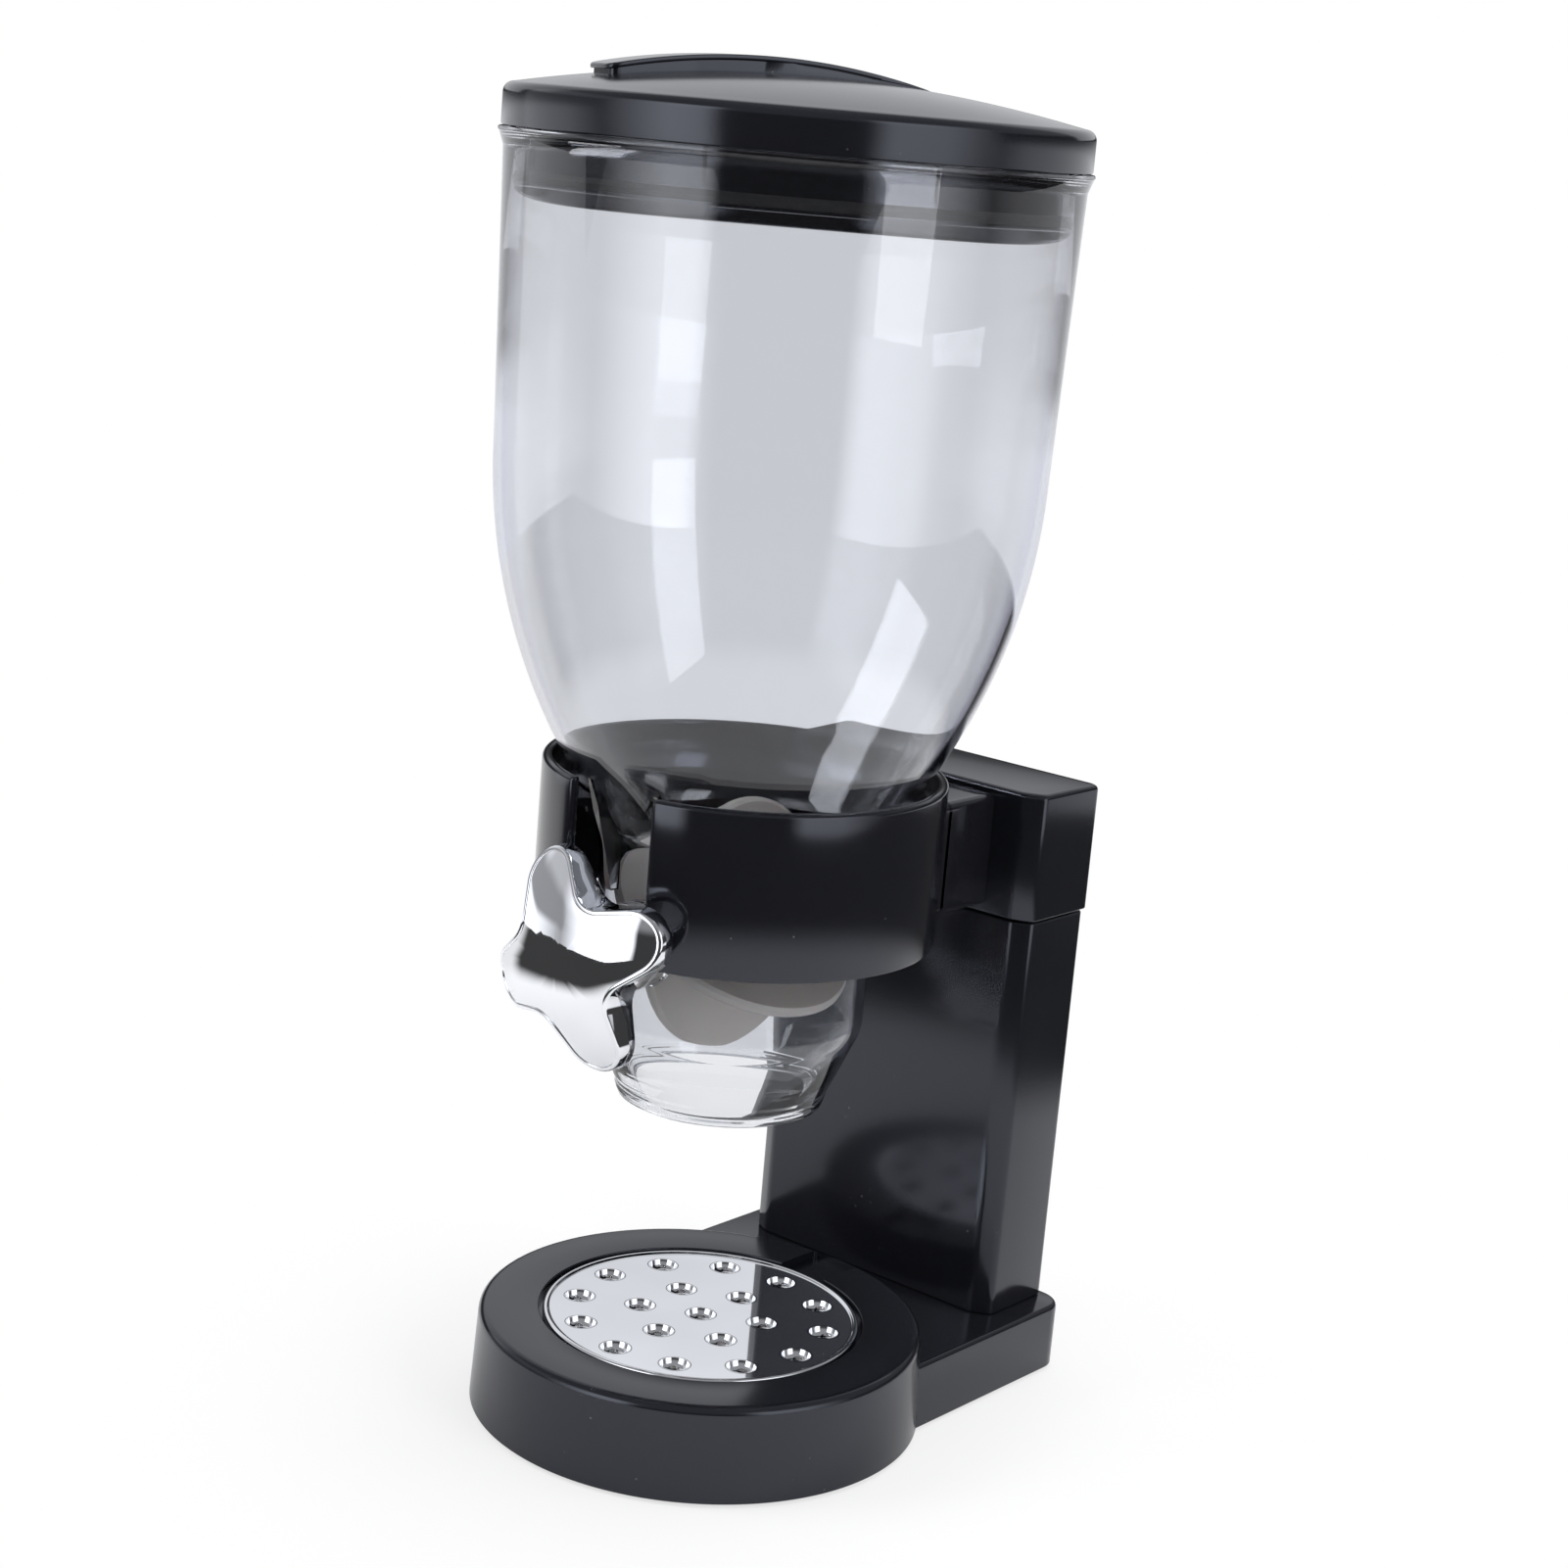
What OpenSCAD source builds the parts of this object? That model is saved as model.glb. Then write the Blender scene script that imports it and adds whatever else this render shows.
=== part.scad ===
// Gravity bulk food bin: a clear canister with a paddle wheel, hung in a collar on a column.
// The origin is on the canister's vertical axis at table level. +Z is up, the knob faces -Y and
// the column stands at +Y.

/* [Base] */
// Diameter of the round front of the base at the table
disc_d = 133.6; // [124:0.2:140]
// Height of the round front of the base
disc_h = 29.4; // [26:0.2:36]
// Width of the block behind the round front
block_w = 112; // [104:0.5:124]
// Height of the block behind the round front
block_h = 21.3; // [19:0.1:23]
// Distance from the canister axis to the rear face of the block
block_reach = 112; // [111.5:0.5:130]
// Radius of the rear corners of the block
block_corner_r = 9; // [6:0.5:14]
// Wall of the moulded base
base_wall = 2.6; // [2:0.1:3.2]
// Rounding of the top edge of the round front
disc_edge_r = 2.6; // [1.5:0.1:3.5]
// Height of the rubber feet that shows under the base
foot_show = 1; // [0.6:0.1:2]
// Diameter of each rubber foot
foot_d = 15; // [10:0.5:18]
// Thickness of the bottom plate
plate_t = 2; // [1.6:0.1:2.6]
// Height of the crumb cup's floor above the bottom plate
cup_rise = 10; // [7:0.5:12]

/* [Drip tray] */
// Diameter of the chromed tray
tray_d = 93.8; // [88:0.2:97]
// Thickness of the tray
tray_t = 1.2; // [0.8:0.1:1.6]
// Gap all round between the tray and its recess
tray_gap = 1.2; // [0.8:0.1:1.5]
// Depth of the tray's top below the top of the base
tray_drop = 0.8; // [0.4:0.1:1.2]
// Diameter of each dimple in the tray
dimple_d = 8.6; // [7:0.1:9.4]
// Diameter of the drain hole in each dimple
drain_d = 4; // [3:0.1:4.6]
// Depth of each dimple
dimple_depth = 2.6; // [2:0.1:3.2]
// Radius of the outer ring of dimples
dimple_ring_r = 37; // [35:0.5:38]
// Dimples in the outer ring, with half as many in the inner ring
dimple_count = 12; // [8:2:14]
// Width of the finger notch behind the tray
notch_w = 17; // [12:0.5:22]

/* [Column] */
// Width of the column
column_w = 95; // [88:0.5:102]
// Depth of the column from front to back
column_depth = 30.5; // [27:0.5:32]
// Distance from the canister axis to the front of the column
column_reach = 79; // [77:0.5:80]
// Width of the bevel on each front corner of the column
bevel_w = 6; // [4:0.5:8]
// Depth of the bevel on each front corner of the column
bevel_depth = 3.4; // [2:0.2:5]
// Wall of the column
column_wall = 2.6; // [2:0.1:3.2]
// Height of the shadow gap between the column and the head
seam_h = 0.8; // [0.4:0.1:1.2]
// Height of the head block on top of the column
head_h = 39; // [37:0.5:46]
// How far the head stands proud of the column
head_proud = 0.8; // [0.4:0.1:1.4]

/* [Collar] */
// Outside diameter of the collar that holds the canister
collar_d = 115.6; // [114:0.2:118]
// Height of the collar
collar_h = 47; // [44:0.5:50]
// Wall of the collar
collar_wall = 3; // [2.4:0.1:3.6]
// Width of the slot in the front of the collar
slot_w = 28.6; // [28:0.2:32]
// Width of the arm between the collar and the head
arm_w = 64; // [56:0.5:68]
// Height of the arm between the collar and the head
arm_h = 34.5; // [32:0.5:36]
// Inside radius of the seat under the canister's funnel
seat_r = 45; // [44.6:0.1:46]
// Gap between the canister's funnel and its seat
seat_gap = 0.3; // [0.2:0.05:0.6]

/* [Canister] */
// Height of the canister's mouth above the table
mouth_h = 367.4; // [340:0.2:395]
// Outside diameter of the canister under its mouth flange
mouth_d = 158.2; // [154:0.2:162]
// How far the mouth flange stands out beyond the wall
flange_out = 1.6; // [1:0.1:2.4]
// Outside diameter where the straight wall turns into the bowl
bowl_d = 153.6; // [150:0.2:156]
// Height where the straight wall turns into the bowl
bowl_h = 285; // [275:1:300]
// Radius of the bowl's curve
bowl_r = 169; // [160:1:174]
// Slope of the funnel from the vertical
funnel_slope = 31.5; // [29:0.5:33]
// Outside diameter of the wheel chamber
neck_d = 79.2; // [78:0.2:81]
// Outside diameter of the outlet
outlet_d = 58.2; // [54:0.2:62]
// Distance from the wheel's axis down to the outlet
outlet_drop = 52; // [49:0.5:54]
// Slope of the outlet wall from the vertical
outlet_slope = 23.5; // [21:0.5:26]
// Wall of the canister
bin_wall = 2.2; // [1.8:0.1:2.6]

/* [Paddle wheel] */
// Height of the wheel's axis above the table
axis_h = 150; // [144:0.5:156]
// Gap between the paddles and the chamber wall
paddle_gap = 0.4; // [0.3:0.05:0.8]
// Thickness of each silicone paddle
paddle_t = 2.8; // [2:0.1:3.6]
// Paddle discs that cross on the axis, each giving two paddles
paddle_discs = 3; // [2:1:4]
// Diameter of the silicone sleeve in the middle of the wheel
sleeve_d = 22; // [20:0.5:26]
// Diameter of the wheel's hard core
core_d = 16; // [14:0.5:17]
// Diameter of the shaft
shaft_d = 8; // [7:0.1:9]
// Depth of the drive flat on the shaft
flat_depth = 1.2; // [0.8:0.1:1.6]
// Radial clearance of the shaft in its bushes
shaft_fit = 0.05; // [0.02:0.01:0.09]
// Outside diameter of the bushes
bush_d = 14; // [12:0.2:15]
// Diameter of the boss round the front bush
boss_d = 24.4; // [22:0.2:25]
// How far the front boss stands out of the chamber's wall
boss_out = 6.4; // [5.4:0.1:8]

/* [Knob] */
// Diameter of the knob over its lobe tips
knob_d = 63; // [60:0.5:66]
// Number of lobes
knob_lobes = 4; // [4:1:5]
// Radius of each lobe's tip
lobe_tip_r = 9; // [8:0.1:9.4]
// Narrowing of each lobe towards its tip, as an angle on each side
lobe_taper = 13.5; // [10:0.5:14]
// Radius of the valley between two lobes
valley_r = 8.5; // [6:0.5:9]
// Depth of the knob's side wall at the lobe tips
knob_side = 4.2; // [3.8:0.2:6]
// Rise of the domed face above the lobe tips
knob_dome = 9.6; // [8:0.2:10.4]
// Wall of the knob
knob_wall = 1.8; // [1.4:0.1:2.4]
// Gap between the knob and the front of the collar
knob_gap = 1.5; // [1:0.1:3]
// How far the knob is turned from upright
knob_turn = 25.7; // [0:0.1:90]

/* [Lid] */
// How far the lid's band stands out beyond the canister's wall
lid_over = 0.9; // [0.4:0.1:2]
// Height of the lid's upright band
lid_band = 11.5; // [10:0.5:14]
// Rise of the lid's dome above the band
lid_dome = 8; // [6:0.5:12]
// Rounding of the lid's upper edge
lid_edge_r = 3; // [2:0.1:4]
// Wall of the lid
lid_wall = 2.4; // [2:0.1:2.8]
// Gap between the lid and the canister's mouth
lid_gap = 0.3; // [0.2:0.05:0.5]
// Depth of the plug that goes into the mouth
plug_depth = 14; // [11:0.5:18]
// Wall of the plug
plug_wall = 2.3; // [1.8:0.1:2.8]
// Gap between the plug and the canister wall
plug_gap = 1.1; // [0.9:0.05:1.5]
// Upright ribs round the plug
plug_ribs = 8; // [4:1:12]
// Length of the grip bar on the lid
grip_l = 92; // [80:0.5:100]
// Width of the grip bar
grip_w = 19; // [14:0.5:24]
// Rise of the grip bar above the dome
grip_rise = 3.9; // [3.4:0.1:8]
// Radius of the grip bar's long curve
grip_bow_r = 192; // [180:2:260]
// How far the middle of the grip bar lies from the middle of the lid, towards its raised end
grip_shift = 11.5; // [6:0.5:16]
// How far the lid is turned on the canister
lid_turn = 60; // [0:1:180]

/* [Screws] */
// Diameter of the screw shanks
screw_d = 3; // [2.6:0.1:3.4]
// Diameter of the screw heads
screw_head_d = 6; // [5.4:0.1:6.6]
// Height of the screw heads
screw_head_h = 2; // [1.6:0.1:2.4]
// Thread overlap of a screw in its pilot hole, on the radius
thread_bite = 0.15; // [0.1:0.01:0.2]

/* [Hidden] */
$fn = 96;

black_c = [0.11, 0.115, 0.13];
chrome_c = [0.82, 0.83, 0.85];
clear_c = [0.8, 0.8, 0.92, 0.35];
silicone_c = [0.86, 0.84, 0.81];
steel_c = [0.6, 0.61, 0.63];
rubber_c = [0.16, 0.16, 0.16];

// Overlap used where two shapes of one piece join, and past the faces of a cut
join = 0.5;
past = 1;

// Base
disc_r = disc_d / 2;
disc_draft = 1.1;
disc_top_r = disc_r - disc_draft;
block_edge_r = 1.5;
block_front = 20;
plate_fit = 0.2;
plate_z = foot_show;
plate_top = plate_z + plate_t;
pad_top = plate_top + 1.8;
screw_seat = pad_top - 2.2;
foot_sink = 0.8;
foot_inset = 17;
foot_front_y = -disc_r * 0.62;
foot_side_x = disc_r * 0.48;
foot_rear_y = block_reach - foot_inset;
foot_rear_x = block_w / 2 - foot_inset;
foot_places = [[0, 0], [foot_side_x, foot_front_y], [-foot_side_x, foot_front_y],
               [foot_rear_x, foot_rear_y], [-foot_rear_x, foot_rear_y]];

// Drip tray
tray_r = tray_d / 2;
rest_gap = 0.3;
tray_z = disc_h - tray_drop - tray_t;
ledge_z = tray_z - rest_gap;
recess_r = tray_r + tray_gap;
ledge_w = 3.2;
cup_r = tray_r - ledge_w;
cup_wall = 2;
cup_floor = plate_top + cup_rise;
cup_split_r = recess_r + cup_wall / 2;
notch_depth = 2.4;
notch_end_y = disc_top_r - 1.8;
dimple_wall = 0.8;
bead_r = 0.9;

// Screws
pilot_r = screw_d / 2 - thread_bite;
screw_hole_r = screw_d / 2 + 0.25;
screw_bite = 9;
post_r = screw_d / 2 + 2.8;
post_clear = 0.4;
plate_post_x = block_w / 2 - base_wall - post_r - post_clear;
plate_post_front_r = disc_top_r - base_wall - post_r - post_clear;
block_roof = block_h - base_wall;
disc_roof = disc_h - base_wall;
// Each post's place and the height of the roof that it hangs from
plate_posts = [[plate_post_x, block_reach - 34, block_roof], [-plate_post_x, block_reach - 34, block_roof],
               [plate_post_front_r * cos(215), plate_post_front_r * sin(215), disc_roof],
               [plate_post_front_r * cos(325), plate_post_front_r * sin(325), disc_roof]];

// Column and head
column_z = block_h;
column_back = column_reach + column_depth;
column_mid_y = column_reach + column_depth / 2;
head_z = axis_h - 2;
column_top = head_z - seam_h;
head_top = head_z + head_h;
head_lip = 2.2;
head_roof = 2.4;
column_post_x = 30;
column_post_r = 5;
head_post_x = column_w / 2 - column_wall - 4.6;
head_post_r = 4.2;
plate_web = 3;

// Collar
collar_r = collar_d / 2;
collar_z = axis_h - 0.5;
collar_top = collar_z + collar_h;
collar_in_r = collar_r - collar_wall;
arm_z = collar_z + 0.5;
arm_edge_r = 2.5;
arm_wall = 3;
arm_fit = 0.2;
tongue_end = column_back - column_wall - 3;
tongue_step = 6;
arm_screw_x = 20;
arm_screw_y = column_mid_y;

// Canister, as radii
flange_h = 5;
flange_lip = 1.2;
wall_slope = atan((mouth_d - bowl_d) / 2 / (mouth_h - flange_h - bowl_h));
mouth_r = mouth_d / 2;
neck_r = neck_d / 2;
boss_reach = neck_r + boss_out;
outlet_r = outlet_d / 2;
outlet_z = axis_h - outlet_drop;
outlet_bend_r = 14;
funnel_bend_r = 8;
bowl_x = bowl_d / 2 - bowl_r;
funnel_top_r = bowl_x + bowl_r * cos(funnel_slope);
funnel_top_z = bowl_h - bowl_r * sin(funnel_slope);
funnel_foot_z = funnel_top_z - (funnel_top_r - neck_r) / tan(funnel_slope);
outlet_foot_z = outlet_z + (neck_r - outlet_r) / tan(outlet_slope);
rim_bead = 0.7;
rim_h = 2.4;
web_x = boss_d / 2 - 0.4;
web_t = 2;
web_out = 1.4;
web_foot_z = axis_h + 13;
rear_reach = neck_r + 2.9;
rear_bore_end = rear_reach - 1.4;
neck_top_z = funnel_top_z + 3;
neck_base_z = outlet_foot_z + 2;

// Paddle wheel
chamber_r = neck_r - bin_wall;
paddle_r = chamber_r - paddle_gap;
shaft_r = shaft_d / 2;
bush_r = bush_d / 2;
core_half = chamber_r - 5.4;
sleeve_half = chamber_r - 9.4;
wheel_fn = 128;
washer_t = 1;
washer_r = 8.6;
washer_y = -boss_reach - rest_gap;
shaft_back = rear_bore_end - 0.5;

// Knob, measured forward from the canister axis
knob_r = knob_d / 2;
knob_back_y = -(collar_r + knob_gap);
knob_edge_y = knob_back_y - knob_side;
knob_sphere_r = (pow(knob_r, 2) + pow(knob_dome, 2)) / (2 * knob_dome);
knob_sphere_y = knob_edge_y - knob_dome + knob_sphere_r;
knob_front_y = knob_edge_y - knob_dome;
knob_fn = 160;
core_neck_r = 8.2;
core_neck_front = knob_front_y + knob_wall;
shaft_front = knob_back_y - 2;

// Lid
lid_r = mouth_r + lid_over;
lid_z = mouth_h + lid_gap;
band_top = lid_z + lid_band;
dome_edge_r = lid_r - lid_edge_r;
dome_r = (pow(dome_edge_r, 2) + pow(lid_dome, 2)) / (2 * lid_dome);
dome_z = band_top + lid_dome - dome_r;
plug_r = mouth_r - bin_wall - plug_gap;
plug_z = mouth_h - plug_depth;
plug_top = lid_z + 4.4;
plug_flange_h = 2.2;
plug_rib_depth = 0.6;
plug_rib_t = 1.2;
seal_z = plug_z + 1;
seal_h = 3;
seal_depth = 0.9;
seal_gap = 0.3;
crest_z = band_top + lid_dome;
grip_corner_r = 3;
grip_half = grip_l / 2;
grip_bow_z = crest_z + grip_rise - grip_bow_r;
grip_foot_z = band_top - lid_edge_r;

// Points on an arc about (cx, cy), from angle a0 to a1 in n steps
function arc(cx, cy, r, a0, a1, n) =
    [for (i = [0:n]) let (a = a0 + (a1 - a0) * i / n) [cx + r * cos(a), cy + r * sin(a)]];

function reversed(list) = [for (i = [len(list) - 1:-1:0]) list[i]];

// Outline of a rectangle with rounded corners, centred on the origin
function round_box(w, h, r) = concat(
    arc(w / 2 - r, h / 2 - r, r, 0, 90, 5), arc(r - w / 2, h / 2 - r, r, 90, 180, 5),
    arc(r - w / 2, r - h / 2, r, 180, 270, 5), arc(w / 2 - r, r - h / 2, r, 270, 360, 5));

// Outline of the column in plan, drawn in by o, with its bevelled front corners
function column_outline(o, grow = 0) =
    let (w = column_w / 2 - o + grow, y0 = column_reach + o - grow, y1 = column_back - o + grow,
         c = 2.5)
    concat([[-w, y0 + bevel_depth], [-w + bevel_w, y0], [w - bevel_w, y0], [w, y0 + bevel_depth]],
           arc(w - c, y1 - c, c, 0, 90, 4), arc(-w + c, y1 - c, c, 90, 180, 4));

// Outline of the block in plan, drawn in by o, with its rounded rear corners
function block_outline(o) =
    let (w = block_w / 2 - o, y1 = block_reach - o, c = block_corner_r - o)
    concat([[-w, block_front], [w, block_front]],
           arc(w - c, y1 - c, c, 0, 90, 6), arc(-w + c, y1 - c, c, 90, 180, 6));

// The canister's wall from outlet to mouth, moved in by o along its normals
function bin_line(o) = concat(
    [[outlet_r - o / cos(outlet_slope), outlet_z]],
    arc(neck_r - outlet_bend_r, outlet_foot_z + outlet_bend_r * tan(outlet_slope / 2),
        outlet_bend_r - o, -outlet_slope, 0, 6),
    arc(neck_r + funnel_bend_r, funnel_foot_z - funnel_bend_r * tan(funnel_slope / 2),
        funnel_bend_r + o, 180, 180 - funnel_slope, 5),
    arc(bowl_x, bowl_h, bowl_r - o, -funnel_slope, -wall_slope, 18),
    [[mouth_r - o / cos(wall_slope), mouth_h - flange_h]]);

// Outline of the knob, drawn in by o: tapered lobes with round tips and round valleys
lobe_half = 180 / knob_lobes;
lobe_centre = knob_r - lobe_tip_r;
lobe_root = lobe_tip_r + lobe_centre * sin(lobe_taper);
valley_centre = (valley_r + lobe_root) / sin(lobe_half + lobe_taper);
function knob_outline(o) = [for (k = [0:knob_lobes - 1])
    let (at = knob_turn + 2 * lobe_half * k, mid = at + lobe_half)
    each concat(
        arc(lobe_centre * cos(at), lobe_centre * sin(at), lobe_tip_r - o,
            at - 90 + lobe_taper, at + 90 - lobe_taper, 10),
        arc(valley_centre * cos(mid), valley_centre * sin(mid), valley_r + o,
            at + 270 - lobe_taper, at + 2 * lobe_half + 90 + lobe_taper, 5))];

// Upper surface of the lid from its outer edge to the crest
dome_angle = asin(dome_edge_r / dome_r);
lid_line = concat(
    arc(lid_r - lid_edge_r, band_top - lid_edge_r, lid_edge_r, 0, 90 - dome_angle / 2, 6),
    [for (i = [1:11]) let (a = dome_angle * (1 - i / 11)) [dome_r * sin(a), dome_z + dome_r * cos(a)]]);

// A cylinder from y0 to y1 along Y on the wheel's axis
module along_y(y0, y1, r) {
    translate([0, y1, axis_h]) rotate([90, 0, 0]) cylinder(r = r, h = y1 - y0);
}

// A screw standing on its head, pointing up
module screw(length) {
    cylinder(d = screw_head_d, h = screw_head_h);
    translate([0, 0, screw_head_h - join]) cylinder(d = screw_d, h = length + join);
}

// The base without its hollow
module base_body() {
    translate([0, 0, plate_z]) rotate_extrude() polygon(concat(
        [[0, 0], [disc_r, 0]],
        arc(disc_top_r - disc_edge_r, disc_h - plate_z - disc_edge_r, disc_edge_r, 0, 90, 6),
        [[0, disc_h - plate_z]]));
    translate([0, 0, plate_z]) linear_extrude(block_h - plate_z - block_edge_r)
        polygon(block_outline(0));
    translate([0, 0, block_h - block_edge_r - 0.001]) linear_extrude(block_edge_r / 2)
        polygon(block_outline(block_edge_r * 0.13));
    translate([0, 0, block_h - block_edge_r / 2 - 0.002]) linear_extrude(block_edge_r / 2 + 0.002)
        polygon(block_outline(block_edge_r * 0.5));
}

// The hollow under the base
module base_hollow() {
    translate([0, 0, plate_z - past]) cylinder(r = disc_top_r - base_wall,
                                               h = disc_h - base_wall - plate_z + past);
    translate([0, 0, plate_z - past]) linear_extrude(block_h - base_wall - plate_z + past)
        polygon(block_outline(base_wall));
}

// The one-piece moulded base
module base_moulding() {
    difference() {
        union() {
            difference() {
                base_body();
                base_hollow();
            }
            // cup under the tray
            translate([0, 0, cup_floor - cup_wall])
                cylinder(r = recess_r + cup_wall, h = disc_h - base_wall - cup_floor + cup_wall + join);
            // thicker floor under the finger notch
            translate([-notch_w / 2 - cup_wall, recess_r, disc_h - notch_depth - base_wall])
                cube([notch_w + 2 * cup_wall, notch_end_y + 1 - recess_r, notch_depth + join]);
            for (p = plate_posts)
                translate([p[0], p[1], pad_top]) cylinder(r = post_r, h = p[2] - pad_top + join);
            // sleeves round the column screws
            for (s = [-1, 1])
                translate([s * column_post_x, column_mid_y, block_roof - 4])
                    cylinder(r = column_post_r, h = 4 + join);
        }
        translate([0, 0, ledge_z]) cylinder(r = recess_r, h = disc_h);
        translate([0, 0, cup_floor]) cylinder(r = cup_r, h = disc_h);
        translate([-notch_w / 2, 0, disc_h - notch_depth]) cube([notch_w, notch_end_y, disc_h]);
        for (p = plate_posts)
            translate([p[0], p[1], pad_top - past]) cylinder(r = pilot_r, h = screw_bite + past);
        for (s = [-1, 1])
            translate([s * column_post_x, column_mid_y, 0]) cylinder(r = screw_hole_r, h = block_h + past);
    }
}

module base_disc() {
    color(black_c) intersection() {
        base_moulding();
        translate([0, 0, plate_z - past]) difference() {
            cylinder(r = disc_r + past, h = disc_h + past);
            translate([0, 0, -past]) cylinder(r = cup_split_r, h = disc_h + 3 * past);
        }
    }
}

module base_cup() {
    color(black_c) intersection() {
        base_moulding();
        translate([0, 0, plate_z - past]) cylinder(r = cup_split_r, h = disc_h + past);
    }
}

module base_block() {
    color(black_c) difference() {
        base_moulding();
        translate([0, 0, -past]) cylinder(r = disc_r + past, h = disc_h + 2 * past);
    }
}

module base_plate() {
    inset = base_wall + plate_fit;
    color(black_c) difference() {
        union() {
            translate([0, 0, plate_z]) cylinder(r = disc_top_r - inset, h = plate_t);
            translate([0, 0, plate_z]) linear_extrude(plate_t) polygon(block_outline(inset));
            // pads over the screw heads
            for (p = plate_posts)
                translate([p[0], p[1], plate_top - join])
                    cylinder(r = post_r - 0.1, h = pad_top - plate_top + join);
        }
        for (f = foot_places)
            translate([f[0], f[1], plate_z - past]) cylinder(d = foot_d, h = foot_sink + past);
        for (p = plate_posts) {
            translate([p[0], p[1], plate_z - past]) cylinder(r = screw_hole_r, h = pad_top);
            translate([p[0], p[1], plate_z - past])
                cylinder(r = screw_head_d / 2 + 0.2, h = screw_seat - plate_z + past);
        }
    }
}

module base_feet() {
    color(rubber_c) for (f = foot_places)
        translate([f[0], f[1], 0]) cylinder(d = foot_d, h = foot_show + foot_sink);
}

module plate_screws() {
    color(steel_c) for (p = plate_posts)
        translate([p[0], p[1], screw_seat - screw_head_h]) screw(pad_top - screw_seat + screw_bite - 1);
}

// The tray's dimples are in a ring, a ring of half as many, and one in the middle
module at_dimples() {
    children();
    for (i = [0:dimple_count / 2 - 1])
        rotate(90 + i * 720 / dimple_count) translate([dimple_ring_r / 2, 0]) children();
    for (i = [0:dimple_count - 1])
        rotate(90 + i * 360 / dimple_count) translate([dimple_ring_r, 0]) children();
}

module drip_tray() {
    color(chrome_c) translate([0, 0, tray_z]) difference() {
        union() {
            cylinder(r = tray_r, h = tray_t);
            // bead round the tray's rim
            rotate_extrude() polygon(concat(
                [[tray_r, tray_t / 2], [tray_r, tray_t - 0.2]],
                arc(tray_r - bead_r, tray_t - 0.2, bead_r, 20, 160, 6),
                [[tray_r - 2 * bead_r, tray_t / 2]]));
            at_dimples() translate([0, 0, tray_t - dimple_depth])
                cylinder(r1 = drain_d / 2 + dimple_wall, r2 = dimple_d / 2 + dimple_wall,
                         h = dimple_depth - tray_t / 2);
        }
        at_dimples() translate([0, 0, tray_t - dimple_depth])
            cylinder(r1 = drain_d / 2, r2 = dimple_d / 2, h = dimple_depth);
        at_dimples() translate([0, 0, -dimple_depth])
            cylinder(r = drain_d / 2, h = dimple_depth + tray_t);
        at_dimples() translate([0, 0, tray_t - 0.01]) cylinder(r = dimple_d / 2, h = past);
    }
}

module column() {
    color(black_c) difference() {
        union() {
            difference() {
                translate([0, 0, column_z]) linear_extrude(column_top - column_z)
                    polygon(column_outline(0));
                translate([0, 0, column_z - past])
                    linear_extrude(column_top - column_z - plate_web + past)
                    polygon(column_outline(column_wall));
            }
            for (s = [-1, 1]) {
                translate([s * column_post_x, column_mid_y, column_z])
                    cylinder(r = column_post_r, h = screw_bite + 4);
                translate([s * column_post_x - 1, column_reach + 1, column_z])
                    cube([2, column_depth - 2, screw_bite + 4]);
            }
        }
        for (s = [-1, 1]) {
            translate([s * column_post_x, column_mid_y, column_z - past])
                cylinder(r = pilot_r, h = screw_bite + 1 + past);
            translate([s * head_post_x, column_mid_y, column_top - plate_web - past])
                cylinder(r = screw_hole_r, h = plate_web + 2 * past);
        }
    }
}

module column_screws() {
    color(steel_c) for (s = [-1, 1])
        translate([s * column_post_x, column_mid_y, block_h - base_wall - 4 - screw_head_h])
            screw(base_wall + 4 + screw_bite);
}

module head_block() {
    color(black_c) difference() {
        union() {
            difference() {
                translate([0, 0, head_z]) linear_extrude(head_h - 1.2)
                    polygon(column_outline(0, head_proud));
                translate([0, 0, column_top - past]) linear_extrude(head_top - head_roof - column_top + past)
                    polygon(column_outline(head_lip));
            }
            translate([0, 0, head_top - 1.201]) linear_extrude(0.7)
                polygon(column_outline(0, head_proud - 0.3));
            translate([0, 0, head_top - 0.502]) linear_extrude(0.502)
                polygon(column_outline(0, head_proud - 0.9));
            // inner lip that stands on the column
            translate([0, 0, column_top]) difference() {
                linear_extrude(seam_h + join) polygon(column_outline(head_lip - join));
                translate([0, 0, -past]) linear_extrude(seam_h + join + 2 * past)
                    polygon(column_outline(head_lip + 1.4));
            }
            translate([0, 0, head_z]) difference() {
                linear_extrude(4) polygon(column_outline(head_lip - join));
                translate([0, 0, -past]) linear_extrude(4 + 2 * past)
                    polygon(column_outline(head_lip + 1.4));
            }
            for (s = [-1, 1]) {
                translate([s * head_post_x, column_mid_y, column_top])
                    cylinder(r = head_post_r, h = head_top - head_roof - column_top + join);
                translate([s * arm_screw_x, arm_screw_y, arm_z + arm_h - tongue_step])
                    cylinder(r = head_post_r, h = head_top - head_roof - arm_z - arm_h + tongue_step + join);
            }
        }
        // opening for the arm
        translate([0, column_reach - head_proud - past, arm_z + arm_h / 2]) rotate([-90, 0, 0])
            linear_extrude(head_lip + head_proud + 1.6 + past)
            polygon(round_box(arm_w + 2 * arm_fit, arm_h + 2 * arm_fit, arm_edge_r + arm_fit));
        for (s = [-1, 1]) {
            translate([s * head_post_x, column_mid_y, column_top - past])
                cylinder(r = pilot_r, h = screw_bite + past);
            translate([s * arm_screw_x, arm_screw_y, arm_z + arm_h - tongue_step - past])
                cylinder(r = pilot_r, h = tongue_step + past);
        }
    }
}

module head_screws() {
    color(steel_c) for (s = [-1, 1])
        translate([s * head_post_x, column_mid_y, column_top - plate_web - screw_head_h])
            screw(plate_web + screw_bite - 1);
}

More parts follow.
